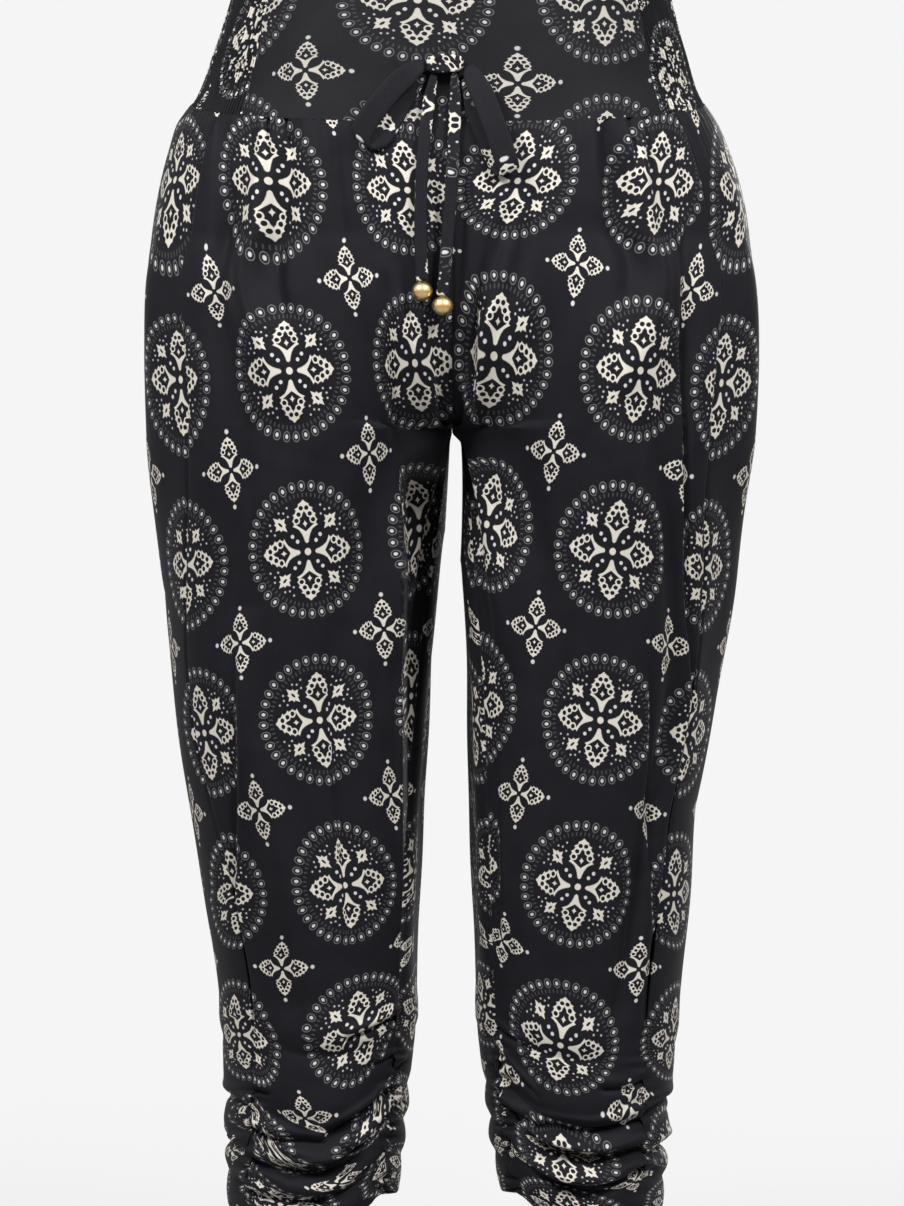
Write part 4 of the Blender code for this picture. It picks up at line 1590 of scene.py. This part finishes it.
# %% The print on the legs
SEAM_TAKES = 12
BACK_EVEN = 250
EVEN_POWER = 0.8
MATCH_REACH = 120


def front_places(leg, points, rolls, at, arc):
    out = arc - print_line(leg, points, arc)[:, None]
    return out, print_down(leg, points, rolls, at, out)


def back_places(leg, points, rolls, at, arc, seam):
    levels = -points[:, 0, 2]
    full = np.interp(BACK_EVEN, levels, arc[:, -1])
    even = np.where(levels < BACK_EVEN, (full / arc[:, -1]) ** EVEN_POWER, 1)
    takes = SEAM_TAKES * (1 - ruched(levels))
    out = arc * even[:, None] + (seam[0] + takes)[:, None]
    v = print_down(leg, points, rolls, at, 0 * out)
    return out, v + (seam[1] - v[:, 0])[:, None] * np.exp(-arc / MATCH_REACH)


print("the side seam takes", SEAM_TAKES, "mm of the print")

# %% Make the leg panels
LEG_COLUMNS = {"front": 120, "back": 150}

seam_places = {}
for panel in ("left_front", "right_front", "left_back", "right_back"):
    leg, face = panel.split("_")
    points, rolls, at, arc, lift = leg_cloth(panel, LEG_COLUMNS[face])
    if face == "front":
        out, v = front_places(leg, points, rolls, at, arc)
        seam_places[leg] = (out[:, -1], v[:, -1])
    else:
        out, v = back_places(leg, points, rolls, at, arc, seam_places[leg])
    places = np.stack([out, v + lift], -1)
    if leg == "right":
        points = points * (-1, 1, 1)
    name = f"{leg}_leg_{face}"
    piece = new_sheet(f"{name}_cloth", points, places, (leg_jersey, wrong_side), flipped=leg == "right")
    fit(piece, name)
    width, length = float(np.ptp(out)) * MM, float(np.ptp(v)) * MM

# %% [markdown]
# ## The yoke
#
# The yoke is a wide band that is flat at the front and back, and smocked at the sides. It lies on the same
# rings as the legs, but its rows run along its own lower seam. Each of its four panels goes from one edge
# to the next, and an edge is given by how far round the waist it is from the middle of the front.

# %% The band's edges
YOKE_HALF_TOP = 113
YOKE_HALF_FOOT = 134
SMOCK_PAST_SIDE = 0.30
BAND_ROWS = 44


def edge_turn(edge, share):
    """How far round an edge is, a share of the way down the band. The wearer's left counts as positive."""
    leg, face = edge.split("_")
    around = math.pi / 2 + SMOCK_PAST_SIDE
    if face == "front":
        half = half_ring(leg, YOKE_LEVEL * share)[1]
        reach = YOKE_HALF_TOP + (YOKE_HALF_FOOT - YOKE_HALF_TOP) * share
        around = math.pi / 2 - float(turn_for(reach / half))
    return around if leg == "left" else -around


def band_grid(first, last, columns):
    """The plain points of the band between two edges, the ways out, and how far down each point is."""
    shares = np.linspace(0, 1, BAND_ROWS + 1)
    start, end = (np.array([edge_turn(edge, s) for s in shares])[:, None] for edge in (first, last))
    end = np.where(end < start, end + 2 * np.pi, end)
    around = start + (end - start) * np.linspace(0, 1, columns + 1)
    turn = np.pi / 2 + np.abs(around)
    down = yoke_seam(turn) * shares[:, None]
    points, ways = [], []
    for leg, sign in (("left", 1), ("right", -1)):
        x, y = ring_point(leg, down, turn)
        out_x, out_y = outwards(leg, down, turn)
        points.append(np.stack([sign * x, y, -down], -1))
        ways.append(np.stack([sign * out_x, out_y, 0 * out_x], -1))
    left = (around >= 0)[..., None]
    return np.where(left, *points), np.where(left, *ways), yoke_seam(turn), down


print("the flat front ends at", round(math.degrees(edge_turn("left_front", 0))), "degrees on the top edge")

# %% [markdown]
# Smocking draws the cloth up into many fine ribs, which are rounded with sharp grooves between them. They
# lean with the body's side, and no two are quite alike. The flat panels only have a faint wave. All four
# dip into their seams.

# %% Ribs and waves of the band
RIB = 2.6
RIB_HEIGHT = 2.6
RIB_LEAN = 0.12
YOKE_WAVE = 0.25
BAND_DIP_HALF = 1.2
BAND_DIPS = {"side": 0.5, "foot": 0.05, "top": 0.7}
RIB_FADE = 3


def band_height(name, arc, down):
    if name.startswith("yoke"):
        return YOKE_WAVE * np.sin(arc / 17 + down / 29) * np.sin(down / 13)
    place = (arc if name.endswith("left") else arc[:, -1:] - arc) - RIB_LEAN * down
    drift = 0.35 * np.sin(down / 17 + place / 23) + 0.3 * np.sin(down / 7 + place / 11)
    drift += 0.4 * np.sin(place / 3.7) + 0.15 * np.sin(down / 3.1 + place / 5.9)
    size = 0.8 + 0.2 * np.sin(place / 5.3 + down / 31) * np.sin(place / 2.9 - down / 13)
    return RIB_HEIGHT * (size * np.abs(np.sin(np.pi * place / RIB + drift)) - 1)


def band_points(name, first, last, columns):
    points, ways, foot, down = band_grid(first, last, columns)
    arc = arc_across(points)
    from_side = np.minimum(arc, arc[:, -1:] - arc)
    dip = BAND_DIPS["side"] * bell(from_side / BAND_DIP_HALF)
    dip = np.maximum(dip, BAND_DIPS["foot"] * bell((foot - down) / BAND_DIP_HALF))
    dip = np.maximum(dip, BAND_DIPS["top"] * bell(down / BAND_DIP_HALF))
    height = band_height(name, arc, down) * ease(from_side / RIB_FADE)
    return points + ways * (height - dip)[..., None], down


print("ribs", RIB, "mm apart and", RIB_HEIGHT, "mm high")

# %% [markdown]
# The print is turned a quarter on the yoke, because the band is cut across the cloth. On the front it is
# pulled out of line a little at three places, where the wearing stretches it. On the smocking it is
# squeezed with the ribs, because it follows the length along them.

# %% Make the band
BAND_REPEAT = 122
BAND_PRINT = (-21, 40)
DOWN_SHARE = 0.96
STRETCHES = ((-92, 82, 14, 6, 0.20), (45, 88, -3, -4, 0.26), (110, 20, 0, 5, 0))
STRETCH_REACH = ((52, 60), (30, 36))
SWELL_DOWN = 0.4
SMOCK_PRINT = {"left": (38, 47), "right": (-206, 20)}
BAND_WALL = 1.3


def stretched(across, down):
    """The yoke front's print, moved and swollen round a few places."""
    for x, level, more, low, swell in STRETCHES:
        off, below = across - x, down - level
        wide, near = (bell(off / a) * bell(below / b) for a, b in STRETCH_REACH)
        across = across + more * wide - swell * off * near
        down = down + low * wide - SWELL_DOWN * swell * below * near
    return across, down


def add_band(name, first, last, columns, begin=0, lower=0):
    """A panel of the band. begin is where its cloth starts across, and lower is how far down it slips."""
    points, down = band_points(name, first, last, columns)
    arc = arc_across(points)
    across, down = begin + arc, down - lower
    if name == "yoke_front":
        middle = np.array([np.interp(0, row[:, 0], lengths) for row, lengths in zip(points, arc)])
        across, down = stretched(across - middle[:, None], down)
    u = (down - BAND_PRINT[1]) * DOWN_SHARE
    places = np.stack([u, (across - BAND_PRINT[0]) * REPEAT_DOWN / BAND_REPEAT], -1)
    smocked = name.startswith("smocked")
    outside = smocked_jersey if smocked else yoke_jersey
    piece = new_sheet(f"{name}_cloth", points, places, (outside, wrong_side), wall=BAND_WALL)
    fit(piece, name)
    return across


front = add_band("yoke_front", "right_front", "left_front", 110)
begin, lower = SMOCK_PRINT["left"]
add_band("smocked_left", "left_front", "left_back", 430, front[:, -1:] + begin, lower)
begin, lower = SMOCK_PRINT["right"]
add_band("smocked_right", "right_back", "right_front", 430, front[:, :1] + begin, lower)
add_band("yoke_back", "left_back", "right_back", 130)

# %% [markdown]
# ## Floor and room
#
# The floor and the world are a pale grey that is nearly white. The camera sees the floor as a mix of a
# real surface, which keeps a soft shadow, and of plain light, so that it melts into the background. The
# world shows the camera and the reflections the same pale grey, and lights the cloth much less.

# %% Floor
PALE = (0.914, 0.914, 0.914, 1)
NEAR_PALE = (0.955, 0.955, 0.955, 1)
FLOOR_GREY = 0.42
FLOOR_SIZE = 14
FLOOR_LEVEL = -0.875
FLOOR_BLEND = (0.3, 2.0)
GLOW_SHARE = 0.84

ground = Finish("floor", (FLOOR_GREY,) * 3, 0.9)
place = ground.node("ShaderNodeTexCoord").outputs["Object"]
far = ground.node("ShaderNodeVectorMath", {"operation": "LENGTH"}, {0: place})
far = ground.ramp(ground.read(far, "Value"), *FLOOR_BLEND)
pale = ground.mix(far, NEAR_PALE, PALE)
glow = ground.node("ShaderNodeEmission", {}, {"Color": pale, "Strength": 1.0})
by_camera = ground.read(ground.node("ShaderNodeLightPath"), "Is Camera Ray")
share = by_camera * (GLOW_SHARE + far * (1 - GLOW_SHARE))
inputs = {0: share, 1: ground.shader.outputs[0], 2: glow.outputs[0]}
blend = ground.node("ShaderNodeMixShader", {}, inputs)
ground.set(ground.tree.nodes["Material Output"], "Surface", blend.outputs[0])

bpy.ops.mesh.primitive_plane_add(size=FLOOR_SIZE, location=(0, 0, FLOOR_LEVEL))
floor = bpy.context.object
floor.name = "floor"
floor.data.materials.append(ground.material)
print("floor nodes", len(ground.tree.nodes))

# %% Room
ROOM_LIGHT = 0.09

world = bpy.data.worlds.new("room")
world.use_nodes = True
bpy.context.scene.world = world
room = Nodes(world.node_tree)
path = room.node("ShaderNodeLightPath")
seen, mirrored, through = (room.read(path, f"Is {ray} Ray") for ray in ("Camera", "Glossy", "Transmission"))
lit = room.tree.nodes["Background"]
room.set(lit, "Color", (1, 1, 1, 1))
room.set(lit, "Strength", ROOM_LIGHT)
backdrop = room.node("ShaderNodeBackground", {}, {"Color": PALE})
inputs = {0: seen.most(mirrored).most(through), 1: lit.outputs[0], 2: backdrop.outputs[0]}
choose = room.node("ShaderNodeMixShader", {}, inputs)
room.set(room.tree.nodes["World Output"], "Surface", choose.outputs[0])
print("room nodes", len(room.tree.nodes))

# %% [markdown]
# ## Lamps
#
# Two large soft lamps of nearly the same power stand at the front, to the left and the right of the
# camera, and one more behind draws the edges of the legs. Each is turned to the middle of the garment.

# %% Lamps
LAMPS = (
    ("left", (-1.15, -1.35, 1.15), 0.7, 49),
    ("right", (1.15, -1.35, 1.15), 0.7, 45),
    ("back", (0.8, 2.6, 0.8), 1.6, 55),
)
for name, place, size, power in LAMPS:
    bpy.ops.object.light_add(type="AREA", location=place)
    lamp = bpy.context.object
    lamp.name = name
    lamp.data.shape = "DISK"
    lamp.data.size = size
    lamp.data.energy = power
    away = np.array(place) - (0, 0, VIEW_MIDDLE)
    tilt = math.atan2(math.hypot(away[0], away[1]), away[2])
    lamp.rotation_euler = (tilt, 0, math.atan2(away[1], away[0]) + math.pi / 2)
bpy.context.scene.view_settings.view_transform = "Standard"
print("lamps", [name for name, *_ in LAMPS])

# %% [markdown]
# ## Finish
